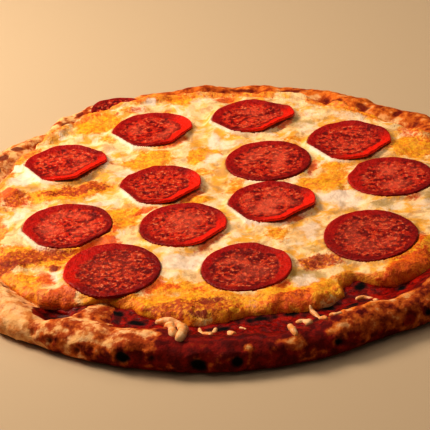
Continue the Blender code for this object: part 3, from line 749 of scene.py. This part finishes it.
# Where a slice's edge is straight, because it folded up or sank there: azimuth, and how far out the
# straight edge lies, as a share of the slice's reach
STRAIGHT_EDGES = {
    "pepperoni_back_left": ((212, 0.86), (329, 0.88)),
    "pepperoni_left": ((209, 0.87), (323, 0.82), (130, 0.93), (50, 0.93)),
    "pepperoni_inner_left": ((207, 0.84), (315, 0.90), (120, 0.95)),
    "pepperoni_mid_left": ((212, 0.93), (312, 0.90)),
    "pepperoni_inner_front": ((318, 0.92),),
    "pepperoni_back": ((316, 0.82), (55, 0.88), (212, 0.92)),
    "pepperoni_back_right": ((209, 0.86), (318, 0.88), (50, 0.93)),
    "pepperoni_inner_right": ((206, 0.89), (312, 0.87), (50, 0.93)),
    "pepperoni_right": ((150, 0.95),),
    "pepperoni_front": ((50, 0.93),),
}
# How much painted sheen, a pale highlight on the fat, lies in the middle of each slice
SLICE_PAINTED_SHEEN = {
    "pepperoni_back_left": 0.75, "pepperoni_left": 0.35, "pepperoni_inner_left": 0.1,
    "pepperoni_mid_left": 0.8, "pepperoni_inner_front": 0.65, "pepperoni_back": 0.5,
    "pepperoni_back_right": 0.3, "pepperoni_inner_back": 0.7, "pepperoni_inner_right": 1.0,
    "pepperoni_right": 0.8, "pepperoni_front_right": 0.45, "pepperoni_front_left": 0.2,
    "pepperoni_front": 0.45,
}
SLICE_SINK = 0.6 * MM
CURL_POWER = 4.5


def slice_outline(name, azimuth):
    """A slice's outline as a share of its round one."""
    share = np.ones_like(azimuth)
    for side, reach in STRAIGHT_EDGES.get(name, ()):
        share = np.minimum(share, reach / np.maximum(reach, np.cos(azimuth - radians(side))))
    return share


def slice_cup(name, azimuth):
    """How far a slice's edge rises in each direction, in metres, less where cheese holds it."""
    rise, extra, side, fold = SLICES[name][4:]
    held = 0.6 * hump(turn_between(np.degrees(azimuth), 210), 34)
    return MM * (1 - held) * (rise + extra * np.maximum(0, np.cos(azimuth - radians(side)))
                              + fold * np.abs(np.sin(azimuth)))


def slice_underside(name, x, y, share, azimuth):
    """Height of a slice's underside."""
    bed = cheese_top(x, y, dough_top(x, y), lumps=0.0)
    return bed - SLICE_SINK + slice_cup(name, azimuth) * share ** CURL_POWER


print(len(SLICES), "slices in the cheese, and", len(STRAIGHT_EDGES), "of them have straight edges")

# %% Slice shape
ROUND_SHARE = 0.035


def disc(segments=104, rings=22):
    """A flat disc of unit radius and unit height with even rings and a rounded edge."""
    steps = np.linspace(0, 1 - ROUND_SHARE, rings)
    edge = [(1 - ROUND_SHARE + ROUND_SHARE * cos(turn), 0.5 + 0.5 * sin(turn))
            for turn in np.linspace(-pi / 2, pi / 2, 7)[1:-1]]
    lower, upper = [(step, 0.0) for step in steps], [(step, 1.0) for step in reversed(steps)]
    return turned([*lower, *edge, *upper], segments)


def bent_slice(name, number):
    """A slice's mesh bent into its cup, and the marks for its finish."""
    centre_x, centre_y, half_x, half_y, _, extra, side, _ = SLICES[name]
    mesh = disc()
    places = places_of(mesh)
    share = np.hypot(places[:, 0], places[:, 1])
    azimuth = np.arctan2(places[:, 1], places[:, 0])
    level = places[:, 2]
    round_trip = np.column_stack([np.cos(azimuth), np.sin(azimuth), 0 * azimuth])
    outline = slice_outline(name, azimuth) * (1 + 0.012 * grain(round_trip, 0.45, number))
    x = centre_x * MM + places[:, 0] * outline * half_x * MM
    y = centre_y * MM + places[:, 1] * outline * half_y * MM
    under = slice_underside(name, x, y, np.minimum(share, 1.0), azimuth)
    plan = np.column_stack([x, y, 0 * x])
    thick = 1.9 * MM - 0.2 * MM * share ** 3
    thick += 0.22 * MM * grain(plan, 3.0 * MM, 20) + 0.12 * MM * grain(plan, 1.2 * MM, 21)
    buckle = 0.35 * MM * share ** 3 * grain(round_trip, 0.3, 30 + number)
    move_to(mesh, np.column_stack([x, y, under + buckle + level * thick]))
    lit_edge = np.maximum(0, np.cos(azimuth - radians(side))) * extra / 1.5
    marks = {"reach": share, "lit_edge": lit_edge,
             "lit_far_wall": np.maximum(0, np.cos(azimuth - radians(125))), "wall": 1 - level,
             "shade": np.full_like(share, eased((-38 - centre_y) / 20)),
             "painted_sheen": np.full_like(share, SLICE_PAINTED_SHEEN[name])}
    return mesh, marks


# %% Pepperoni finish
meat_finish = Finish("cured_pepperoni")
reach = meat_finish.mark("reach")
lit = meat_finish.mark("lit_edge")
blotches = meat_finish.speckle(7 * MM, 2, 0.5, 0.3)
marbling = meat_finish.speckle(2.6 * MM, 3, 0.6, 0.2)
ground = meat_finish.speckle(1.5 * MM, 2, 0.55)
sheen = meat_finish.speckle(14 * MM, 2, 0.5)
colour = meat_finish.blend(blotches.between(0.38, 0.62), screen(150, 7, 2), screen(200, 30, 6))
colour = meat_finish.blend(meat_finish.mark("shade") * 0.66, colour, screen(116, 6, 2))
colour = meat_finish.blend(marbling.between(0.50, 0.60) * 0.75, colour, screen(214, 68, 26))
colour = meat_finish.blend((1 - marbling).between(0.52, 0.60) * 0.95, colour, screen(98, 2, 1))
flecks = ground.between(0.56, 0.64) * marbling.between(0.44, 0.54)
colour = meat_finish.blend(flecks * 0.75, colour, screen(242, 142, 96))
# Painted sheen: a pale highlight laid over the middle of each slice
painted_sheen_mask = sheen.between(0.40, 0.60) * (1 - reach).between(0.16, 0.6) * meat_finish.mark("painted_sheen")
colour = meat_finish.blend(painted_sheen_mask * 0.62, colour, screen(230, 104, 74))
uneven = 0.22 * (blotches - 0.5) + 0.12 * (marbling - 0.5)
outward = reach + uneven + 0.06 * meat_finish.mark("lit_far_wall") + 0.17 * lit
ring = outward.between(0.80, 0.88)
# Painted shadow: a dark crease line just inside the lit band of a folded edge
painted_crease_shadow = outward.between(0.70, 0.79) * (1 - ring) * lit
colour = meat_finish.blend(painted_crease_shadow * 0.75, colour, screen(112, 2, 1))
# Rim ring: its own dark red, with painted light on the lit side and on the far wall
edge = meat_finish.blend(lit.between(0.1, 0.75), screen(126, 2, 1), screen(238, 34, 2))
lit_far_wall = meat_finish.mark("lit_far_wall")
edge = meat_finish.blend(lit_far_wall.between(0.2, 0.9) * 0.7, edge, screen(186, 8, 2))
edge = meat_finish.blend(marbling.between(0.45, 0.62) * 0.25, edge, screen(206, 34, 8))
edge = meat_finish.blend((1 - ground).between(0.52, 0.64) * 0.3, edge, screen(92, 1, 0))
colour = meat_finish.blend(ring * 0.95, colour, edge)
wall = meat_finish.mark("wall").between(0.25, 0.75)
# Painted light: the outer wall is dark red, and bright orange-red on its lit side
painted_lit_wall = meat_finish.blend(lit.between(0.05, 0.6), screen(150, 8, 3), screen(255, 58, 2))
colour = meat_finish.blend(wall, colour, painted_lit_wall)
meat_finish.wear(Base_Color=colour, Roughness=0.28 + 0.3 * ground, Specular_IOR_Level=0.14)
meat_finish.relief(0.6 * marbling + 0.4 * ground, 1.5 * MM)

for number, name in enumerate(SLICES):
    mesh, marks = bent_slice(name, number)
    add_piece(mesh, f"{name}_surface", meat_finish.material, "pepperoni", marks, name)

# %% [markdown]
# ## The slice tucked under the cheese
# At the far rim a smaller end slice slid under the cheese, and only its outer part is out. It is
# the same turned disc on a sloping bed that clears the dough and the sauce, as in the solid.

# %% End slice
# Azimuth, sizes in mm, and how steeply its bed rises outwards
END_SLICE = {"azimuth": 116.5, "radius": 125.5, "half_width": 15.5, "half_depth": 12.5,
             "inner_height": 10.2, "slope": 0.2}
END_TURN = radians(END_SLICE["azimuth"])


def end_slice_bed(across, x, y):
    """Height of the end slice's underside."""
    rise = END_SLICE["slope"] * (across - (END_SLICE["radius"] - END_SLICE["half_depth"]) * MM)
    clear = dough_top(x, y) + SAUCE_COAT + 0.9 * MM
    return np.maximum(END_SLICE["inner_height"] * MM + rise, clear)


mesh = disc(80, 16)
places = places_of(mesh)
share = np.hypot(places[:, 0], places[:, 1])
across = END_SLICE["radius"] * MM + places[:, 0] * END_SLICE["half_depth"] * MM
along = places[:, 1] * END_SLICE["half_width"] * MM
x = across * cos(END_TURN) - along * sin(END_TURN)
y = across * sin(END_TURN) + along * cos(END_TURN)
plan = np.column_stack([x, y, 0 * x])
thick = 1.7 * MM + 0.12 * MM * grain(plan, 2.4 * MM, 22)
move_to(mesh, np.column_stack([x, y, end_slice_bed(across, x, y) + places[:, 2] * thick]))
marks = {"reach": share, "lit_edge": 0.25 * share, "lit_far_wall": 0 * share, "wall": 1 - places[:, 2],
         "shade": 0.5 + 0 * share, "painted_sheen": 0 * share}
add_piece(mesh, "pepperoni_end_at_rim_surface", meat_finish.material, "pepperoni", marks,
          "pepperoni_end_at_rim")

# %% [markdown]
# ## Cheese
# Melted mozzarella is cream white where it is thick and wet, yellow where its fat shows, orange
# where the pepperoni's oil stained it, and it browns in grainy heaps near the rim. The layer is a
# square grid pressed into a disc, so that its cells stay even. Its height follows the solid, rises
# to hold each slice, and gets grain where it browned. A table of patches says where each colour is.

# %% Patches of the cheese
# Of each kind: x, y, half length and half width in mm, heading, and strength
CHEESE_PATCHES = {
    # Milky white patches, some of them painted highlights
    "milky_and_highlight": (
        (-106, 34, 12, 8, 60, 1.0), (-105, -7, 8, 5, 100, 0.8), (-83, -69, 7, 3, 100, 0.9),
        (-19, -63, 17, 10, 10, 0.9), (63, -13, 12, 8, 20, 0.7), (42, -44, 8, 4.5, 100, 0.7),
        (35, -87, 9, 7, 30, 0.8), (-70, 3, 22, 4, 5, 0.8), (10, -104, 6, 4, 0, 0.4),
        (75, 85, 16, 7, 140, 0.6), (-82, 106, 4, 4, 0, 1.0), (-37, 119, 4, 4, 0, 1.0),
        (-5, 118, 10, 4, 0, 0.5), (50, 75, 12, 6, 120, 0.6), (5, 62, 12, 6, 0, 0.6),
        (-60, 62, 8, 5, 60, 0.6), (105, -20, 10, 6, 20, 0.6), (-3, 47, 7, 8, 0, 0.8),
        (-1, 67, 6, 10, 0, 0.8), (59, -7, 13, 7, 10, 1.0), (41, -37, 8, 6, 20, 0.8),
        (-50, 35, 8, 7, 20, 0.7), (-110, 51, 5, 9, 60, 0.9),
    ),
    "golden": (
        (-49, -13, 9, 9, 0, 1.0), (-35, 54, 10, 7, 0, 0.9), (-11, 49, 6, 8, 0, 0.9),
        (55, 8, 11, 9, 20, 1.0), (104, 39, 9, 9, 100, 0.9), (26, -42, 6, 9, 0, 0.6),
        (50, -94, 12, 7, 20, 0.9), (-14, -1, 7, 6, 0, 0.9), (-68, 100, 12, 7, 30, 0.9),
        (-20, 121, 9, 6, 0, 0.9), (40, 60, 9, 6, 30, 0.5), (60, 25, 9, 7, 0, 0.6),
        (88, 88, 16, 8, 130, 0.6), (-58, 80, 8, 8, 0, 0.5), (-97, -72, 7, 9, 0, 0.8),
        (-10, 30, 8, 6, 0, 0.5), (12, -58, 8, 5, 30, 0.5), (9, -103, 12, 4, 0, 1.0),
        (-38, 48, 16, 8, 0, 0.9), (54, 12, 16, 9, 30, 0.9), (-52, -14, 12, 12, 100, 0.9),
        (60, -3, 8, 5, 0, 0.6), (-66, 96, 16, 9, 30, 0.9), (104, 45, 10, 14, 100, 0.9),
        (-4, 55, 8, 10, 0, 0.7), (8, 12, 6, 12, 0, 0.5), (-20, -103, 36, 13, 0, 1.0),
        (-92, -48, 30, 12, 5, 1.0), (-80, 18, 26, 9, 8, 1.0), (34, -98, 26, 12, 15, 0.9),
        (92, -74, 30, 12, 45, 0.9), (-60, -96, 22, 8, 10, 0.9), (-28, -85, 13, 5, 10, 0.9),
        (-13, -88, 12, 5, 0, 0.9), (23, -102, 14, 7, 10, 1.0), (-57, -91, 12, 5, 20, 0.9),
    ),
    "oily": (
        (-78, 20, 22, 5, 8, 0.7), (-106, 10, 8, 8, 60, 0.8), (-112, 17, 6, 8, 60, 0.85),
        (-62, -40, 12, 8, 20, 1.0), (-98, 50, 5, 10, 20, 0.5), (6, 120, 9, 6, 0, 0.9),
        (-38, 5, 5, 3, 0, 0.4), (30, -103, 14, 7, 15, 0.9), (84, -84, 22, 9, 45, 1.0),
        (-88, -70, 6, 9, 30, 0.8), (-79, -87, 12, 7, 15, 1.0), (105, 60, 8, 12, 20, 0.6),
        (-45, 110, 8, 6, 20, 0.6), (4, 5, 7, 5, 0, 0.5), (45, 95, 14, 5, 160, 0.4),
        (-12, -52, 9, 4, 20, 0.4), (108, -62, 12, 8, 60, 0.7), (-30, 108, 9, 5, 10, 0.6),
        (-28, -84, 8, 4, 10, 0.7), (-14, -89, 6, 3, 0, 0.6), (-63, -38, 8, 6, 30, 0.9),
        (-39, -9, 8, 4, 20, 0.9), (90, -76, 16, 5, 45, 0.7),
    ),
    "browned": (
        (-94, -49, 24, 8, 5, 0.9), (-20, -105, 28, 9, 0, 0.75), (-75, 19, 16, 5, 8, 0.8),
        (-37, -106, 9, 7, 0, 0.6), (44, -73, 14, 8, 0, 0.8), (30, -102, 12, 4, 15, 0.5),
        (-84, -60, 4, 4, 0, 0.8), (95, -78, 20, 6, 40, 0.35), (-78, -88, 8, 4, 15, 0.4),
        (-55, 108, 8, 4, 20, 0.4), (110, 30, 5, 10, 10, 0.4), (-110, 4, 4, 9, 0, 0.5),
        (-107, 13, 9, 8, 60, 0.65), (-76, 21, 22, 7, 8, 0.9), (-106, -56, 12, 7, 5, 1.0),
        (44, -71, 14, 9, 10, 0.85),
    ),
    "toasted": (
        (-104, -55, 7, 3, 0, 0.8), (-10, -101, 6, 3, 0, 0.9), (-14, -112, 7, 2.5, 0, 0.8),
        (43, -73, 6, 4, 10, 0.6), (-84, -60, 2.5, 2.5, 0, 0.9), (32, -100, 8, 2, 15, 0.6),
        (-80, 20, 8, 2, 8, 0.4), (-28, -98, 3, 2.5, 0, 0.6), (-118, -20, 4, 5, 0, 0.8),
        (70, 109, 5, 2.5, 140, 0.6), (44, -70, 10, 5, 10, 0.45),
    ),
    # Greyish green patches, partly the cheese's own tone and partly painted shade
    "greenish_and_shade": (
        (-49, 33, 8, 5, 20, 0.6), (35, -85, 13, 7, 10, 1.0), (34, -82, 12, 7, 0, 0.9),
        (110, -16, 9, 14, 0, 0.9), (57, -72, 7, 5, 0, 0.6), (4, 54, 7, 5, 0, 0.6),
        (46, 84, 12, 5, 150, 0.7), (-14, 60, 6, 4, 0, 0.4), (80, -18, 9, 4, 0, 0.7),
        (42, -58, 6, 5, 0, 0.6), (62, -22, 8, 5, 0, 0.5), (48, 82, 6, 4, 0, 0.6),
        (105, -25, 8, 5, 0, 0.6), (38, -92, 6, 5, 0, 0.4),
    ),
}


def patched(x, y, kind, stray_x, stray_y):
    """How much each point lies in the patches of a kind, with strayed outlines."""
    found = np.zeros_like(x)
    for centre_x, centre_y, length, width, heading, strength in CHEESE_PATCHES[kind]:
        from_x, from_y = (x + stray_x) / MM - centre_x, (y + stray_y) / MM - centre_y
        turn = radians(heading)
        along = (from_x * cos(turn) + from_y * sin(turn)) / length
        across = (from_y * cos(turn) - from_x * sin(turn)) / width
        inside = 1 - eased((np.hypot(along, across) - 0.45) / 0.85)
        found = np.maximum(found, strength * inside)
    return found


print("patches:", {kind: len(patches) for kind, patches in CHEESE_PATCHES.items()})

# %% Cheese plan
CHEESE_CELLS = 304
MEAN_CHEESE_REACH = 120 * MM


def rounded_square(u, v):
    """The points of a unit disc for points of the square from -1 to 1, with even rings."""
    wide = np.abs(u) > np.abs(v)
    most = np.where(wide, u, v)
    ratio = np.divide(np.where(wide, v, u), most, out=np.zeros_like(u), where=most != 0)
    near, far = most * np.cos(pi / 4 * ratio), most * np.sin(pi / 4 * ratio)
    return np.where(wide, near, far), np.where(wide, far, near)


cheese_mesh = bmesh.new()
bmesh.ops.create_grid(cheese_mesh, x_segments=CHEESE_CELLS, y_segments=CHEESE_CELLS, size=1)
places = places_of(cheese_mesh)
u, v = rounded_square(places[:, 0], places[:, 1])
edge_share = np.hypot(u, v)
azimuth = np.degrees(np.arctan2(v, u))
flat = np.column_stack([u, v, 0 * u]) * MEAN_CHEESE_REACH
ragged = 1.3 * MM * grain(flat, 4.5 * MM, 31) * eased((edge_share - 0.8) / 0.2)
edge = cheese_edge(azimuth) + ragged
x, y = u * edge, v * edge
print("cheese cell, mm:", round(2 * MEAN_CHEESE_REACH / CHEESE_CELLS / MM, 2))

# %% Cheese height
plan = np.column_stack([x, y, 0 * x])
stray_x = 3.0 * MM * wave(x, y, 9 * MM, 41) + 1.4 * MM * wave(x, y, 3 * MM, 42)
stray_y = 3.0 * MM * wave(x, y, 9 * MM, 43) + 1.4 * MM * wave(x, y, 3 * MM, 44)
marks = {kind: patched(x, y, kind, stray_x, stray_y) for kind in CHEESE_PATCHES}
dough = dough_top(x, y)
z = cheese_top(x, y, dough)
crumbs = np.array([noise.voronoi(spot)[0][0] for spot in (plan / (2.6 * MM)).tolist()])
z += 0.5 * MM * wave(x, y, 4.5 * MM, 45) + 0.16 * MM * wave(x, y, 1.7 * MM, 46)
rim_share = eased((edge_share - 0.9) / 0.07)
rough = np.maximum.reduce([marks["browned"], 0.45 * marks["golden"], 0.55 * rim_share])
crumbled = (0.12 + rough) * 0.8 * MM * (0.45 - crumbs)
z += crumbled + rough * 0.35 * MM * wave(x, y, 2.2 * MM, 47)

# Around and under each slice
nearest = np.full_like(x, 9.0)
facing, grip = np.zeros_like(x), np.zeros_like(x)
for name, (centre_x, centre_y, half_x, half_y, *_) in SLICES.items():
    from_x, from_y = (x / MM - centre_x) / half_x, (y / MM - centre_y) / half_y
    turn = np.arctan2(from_y, from_x)
    share = np.hypot(from_x, from_y) / slice_outline(name, turn)
    bed = cheese_top(x, y, dough, lumps=0.0) - SLICE_SINK
    cup = slice_cup(name, turn)
    sunk = 1.0 if any(200 < side < 220 for side, _ in STRAIGHT_EDGES.get(name, ())) else 0.25
    held = sunk * hump(turn_between(np.degrees(turn), 210), 40)
    hold = bed + np.minimum(cup, 1.3 * MM) + (0.7 + 1.6 * held) * MM
    bank = hump((share - 1 - 0.03 * held) * 22 * MM, (1.8 + 0.8 * held) * MM) * (share >= 1)
    z += bank * (hold - z)
    below = bed + np.minimum(cup * np.minimum(share, 1) ** CURL_POWER, 1.3 * MM) - 0.2 * MM
    z = np.where(share < 1, np.minimum(z, below), z)
    facing, grip = np.where(share < nearest, turn, facing), np.where(share < nearest, sunk, grip)
    nearest = np.minimum(nearest, share)

# The edge rounds down to the sauce or the dough
foot = np.maximum(SAUCE_LEVEL, dough + SAUCE_COAT) - 0.3 * MM
t = np.clip((edge_share - 0.955) / 0.045, 0, 1)
z = foot + (z - foot) * np.sqrt(1 - 0.97 * t * t)
# It closes over the inner part of the end slice
across, along = x * cos(END_TURN) + y * sin(END_TURN), y * cos(END_TURN) - x * sin(END_TURN)
half_width, half_depth = END_SLICE["half_width"], END_SLICE["half_depth"]
share = np.hypot(across / MM - END_SLICE["radius"], along / MM / half_width * half_depth)
over = eased((129.5 * MM - across) / (3 * MM)) * (1 - eased((share / half_depth - 1.0) / 0.3))
z += over * np.maximum(end_slice_bed(across, x, y) + 2.4 * MM - z, 0)
z = np.minimum(z, CAD_BOX[1][2])
move_to(cheese_mesh, np.column_stack([x, y, z]))

# %% Cheese edge and underside
def extruded_outline(mesh):
    """Extrudes an open mesh's outline and returns its new vertices."""
    band = bmesh.ops.extrude_edge_only(mesh, edges=outline_of(mesh))["geom"]
    return [item for item in band if isinstance(item, bmesh.types.BMVert)]


count = len(cheese_mesh.verts)
for vertex in extruded_outline(cheese_mesh):
    vertex.co.z -= 2.2 * MM
# The underside is flat inside a sloping band, so that it stays below the hollows of the upper side
for vertex in extruded_outline(cheese_mesh):
    vertex.co = (0.88 * vertex.co.x, 0.88 * vertex.co.y, 8.6 * MM)
bmesh.ops.edgeloop_fill(cheese_mesh, edges=outline_of(cheese_mesh))
bmesh.ops.recalc_face_normals(cheese_mesh, faces=cheese_mesh.faces)

# %% Marks beside the slices
beside = hump((nearest - 1.05) * 22, 2.0) * (nearest > 0.95)
lower_left = np.maximum(0, np.cos(facing - radians(222))) ** 2
lower_right = np.maximum(0, np.cos(facing - radians(320))) ** 2
patchy = eased(0.5 + 0.9 * wave(x, y, 12 * MM, 51))
wide = hump((nearest - 1.06) * 22, 3.4) * (nearest > 0.95)
# Painted highlight: a pale strip beside the lower left of each slice, where the bank faces the
# light
marks["milky_and_highlight"] = np.maximum(marks["milky_and_highlight"], beside * lower_left * grip)
marks["oily"] = np.maximum(marks["oily"], wide * lower_right * patchy)
marks["rough"] = rough
marks["rolled"] = eased((edge_share - 0.925) / 0.05) * eased(0.75 + 0.9 * wave(x, y, 10 * MM, 52))
added = len(cheese_mesh.verts) - count
marks = {name: np.concatenate([values, np.zeros(added)]) for name, values in marks.items()}

# %% Cheese finish
cheese_finish = Finish("melted_cheese")
cloudy = cheese_finish.speckle(8 * MM, 3, 0.55, 0.4)
shadowy = cheese_finish.speckle(9 * MM, 3, 0.6, 0.8)
grainy = cheese_finish.speckle(2.2 * MM, 3, 0.65, 0.5)
fine = cheese_finish.speckle(0.9 * MM, 2, 0.6)
crumbly = cheese_finish.cells(2.2 * MM)
cream = cheese_finish.blend(cloudy.between(0.44, 0.62), screen(250, 212, 156), screen(246, 178, 66))
cream = cheese_finish.blend(grainy.between(0.55, 0.72) * 0.35, cream, screen(232, 146, 40))
cream = cheese_finish.blend(shadowy.between(0.50, 0.66) * 0.6, cream, screen(190, 142, 92))
cream = cheese_finish.blend((1 - shadowy).between(0.54, 0.66) * 0.8, cream, screen(250, 224, 194))
gold = cheese_finish.blend(grainy.between(0.34, 0.68), screen(252, 186, 24), screen(230, 124, 6))
milk_and_highlight = cheese_finish.blend(shadowy.between(0.46, 0.64) * 0.5, screen(250, 226, 204),
                           screen(216, 182, 142))
roll = cheese_finish.blend(grainy.between(0.34, 0.66), screen(252, 164, 22), screen(220, 100, 8))
oil = cheese_finish.blend(grainy.between(0.40, 0.60), screen(234, 108, 6), screen(212, 76, 3))
baked = cheese_finish.blend(crumbly.between(0.15, 0.55), screen(240, 142, 14), screen(186, 72, 5))
baked = cheese_finish.blend(fine.between(0.5, 0.62) * 0.6, baked, screen(140, 40, 4))
# Each colour over the ones before: its mark, where that starts and is full, how rough its outline
# is, how much it covers, and the colour
colour = cream
for name, start, full, roughness, cover, over in (
    ("greenish_and_shade", 0.25, 0.8, 0.7, 0.75, screen(172, 138, 74)),
    ("golden", 0.12, 0.6, 1.2, 0.95, gold),
    ("rolled", 0.3, 0.8, 1.0, 0.9, roll),
    ("milky_and_highlight", 0.3, 0.85, 0.9, 0.92, milk_and_highlight),
    ("oily", 0.3, 0.8, 1.2, 0.92, oil),
    ("browned", 0.3, 0.8, 1.4, 0.95, baked),
    ("toasted", 0.35, 0.9, 2.2, 0.85, screen(142, 38, 8)),
):
    mask = (cheese_finish.mark(name) + roughness * (grainy - 0.5)).between(start, full)
    colour = cheese_finish.blend(mask * cover, colour, over)
crusty = cheese_finish.mark("rough")
cheese_finish.wear(Base_Color=colour, Roughness=0.34 + 0.3 * crusty, Specular_IOR_Level=0.22)
cheese_finish.relief((0.6 * grainy + 0.4 * fine) * (0.35 + 0.65 * crusty), 1.6 * MM)

add_piece(cheese_mesh, "cheese_surface", cheese_finish.material, "cheese", marks, "cheese")

# %% [markdown]
# ## Shreds
# A few shreds melted over the near edge: short curls and strings that lie on the sauce and the lip.
# Each is a grid rolled into a tube along a given path that drapes over what is below it.

# %% Shreds
# Radius, and the path from above, in mm
SHREDS = (
    (2.3, ((-35, -109), (-29, -110.5), (-25, -112), (-22.5, -116),
          (-22, -124), (-23, -130), (-24.5, -133.5))),
    (2.0, ((-30, -112), (-27.5, -117), (-27, -124), (-26, -130.5))),
    (1.3, ((-14.8, -116.5), (-14.4, -122), (-11.5, -124.5), (-8.6, -122.5), (-7.2, -117.5))),
    (1.5, ((-1.8, -121.5), (-0.7, -125.5), (0.8, -129))),
    (1.0, ((3.2, -118.5), (5.8, -120.5), (5.2, -124))),
    (1.5, ((25.5, -119), (27.4, -125), (26.4, -130), (27.8, -135.5))),
    (1.6, ((28.5, -118.5), (32, -117.5), (35, -120), (33.6, -123.5))),
    (1.3, ((36.0, -107.5), (38.5, -113), (40.5, -119), (42.4, -124))),
    (1.4, ((57.5, -101.5), (61.5, -100.2), (65.5, -103), (67, -107.5))),
    (1.0, ((44.0, -118.0), (46.6, -120.8), (49.6, -120.2))),
    (1.1, ((-9.6, -121.5), (-11.0, -124.6), (-9.4, -127.5))),
)
# Points along a shred, and how many of them are averaged for its bends and its sag
SHRED_SAMPLES = 200
BEND_WINDOW = 61
SAG_WINDOW = 21


def drape(x, y):
    """Height of whatever lies on top here."""
    dough = dough_top(x, y)
    azimuth = np.degrees(np.arctan2(y, x))
    sauce_or_dough = np.maximum(SAUCE_LEVEL, dough)
    past = (np.hypot(x, y) - around(CHEESE_REACH, azimuth) * MM) / (3 * MM)
    return sauce_or_dough + (cheese_top(x, y, dough) - sauce_or_dough) * (1 - eased(past + 0.7))


def smoothed(values, kernel, **padding):
    """Values averaged by a kernel, with padding so that there are as many as before."""
    return np.convolve(np.pad(values, len(kernel) // 2, **padding), kernel, mode="valid")


def add_shred(mesh, radius, path, number):
    """Rolls a grid into a tube along a path."""
    verts = bmesh.ops.create_grid(mesh, x_segments=60, y_segments=14, size=1)["verts"]
    u, v = np.array([vertex.co[:2] for vertex in verts]).T
    stops = np.linspace(-1, 1, len(path))
    dense = np.linspace(-1, 1, SHRED_SAMPLES)
    kernel = np.hanning(BEND_WINDOW) / np.hanning(BEND_WINDOW).sum()
    x, y = (smoothed(np.interp(dense, stops, line), kernel, mode="reflect", reflect_type="odd") * MM
            for line in np.array(path).T)
    z = smoothed(drape(x, y), np.ones(SAG_WINDOW) / SAG_WINDOW, mode="edge") + 0.05 * radius * MM
    line = np.column_stack([x, y, z])
    ahead = np.gradient(line, axis=0)
    ahead /= np.linalg.norm(ahead, axis=1)[:, None]
    across = np.cross(ahead, (0, 0, 1.0))
    across /= np.linalg.norm(across, axis=1)[:, None]
    upward = np.cross(across, ahead)
    stations = np.arange(SHRED_SAMPLES)
    at = (u + 1) / 2 * (SHRED_SAMPLES - 1)
    here, sideways, above = (
        np.column_stack([np.interp(at, stations, column) for column in values.T])
        for values in (line, across, upward))
    turn = v * pi
    thick = radius * MM * np.sqrt(np.clip(1 - np.abs(u) ** 7, 0, 1))
    lumps = 1 + 0.35 * grain(here, 6 * MM, 60 + number)
    thick *= lumps + 0.1 * grain(here, 1.8 * MM, 80 + number)
    spots = here + sideways * (thick * np.sin(turn))[:, None]
    spots += above * (thick * np.cos(turn))[:, None]
    for vertex, spot in zip(verts, spots.tolist()):
        vertex.co = spot


shred_mesh = bmesh.new()
for number, (radius, path) in enumerate(SHREDS):
    add_shred(shred_mesh, radius, path, number)
bmesh.ops.remove_doubles(shred_mesh, verts=shred_mesh.verts, dist=0.005 * MM)
bmesh.ops.recalc_face_normals(shred_mesh, faces=shred_mesh.faces)

shred_finish = Finish("melted_shreds")
streaked = shred_finish.speckle(4 * MM, 3, 0.6)
colour = shred_finish.blend(streaked.between(0.40, 0.62), screen(242, 194, 140),
                            screen(230, 150, 78))
shred_finish.wear(Base_Color=colour, Roughness=0.36, Specular_IOR_Level=0.2)
shred_finish.relief(streaked, 0.5 * MM)
add_piece(shred_mesh, "melted_shreds", shred_finish.material, "cheese", {})
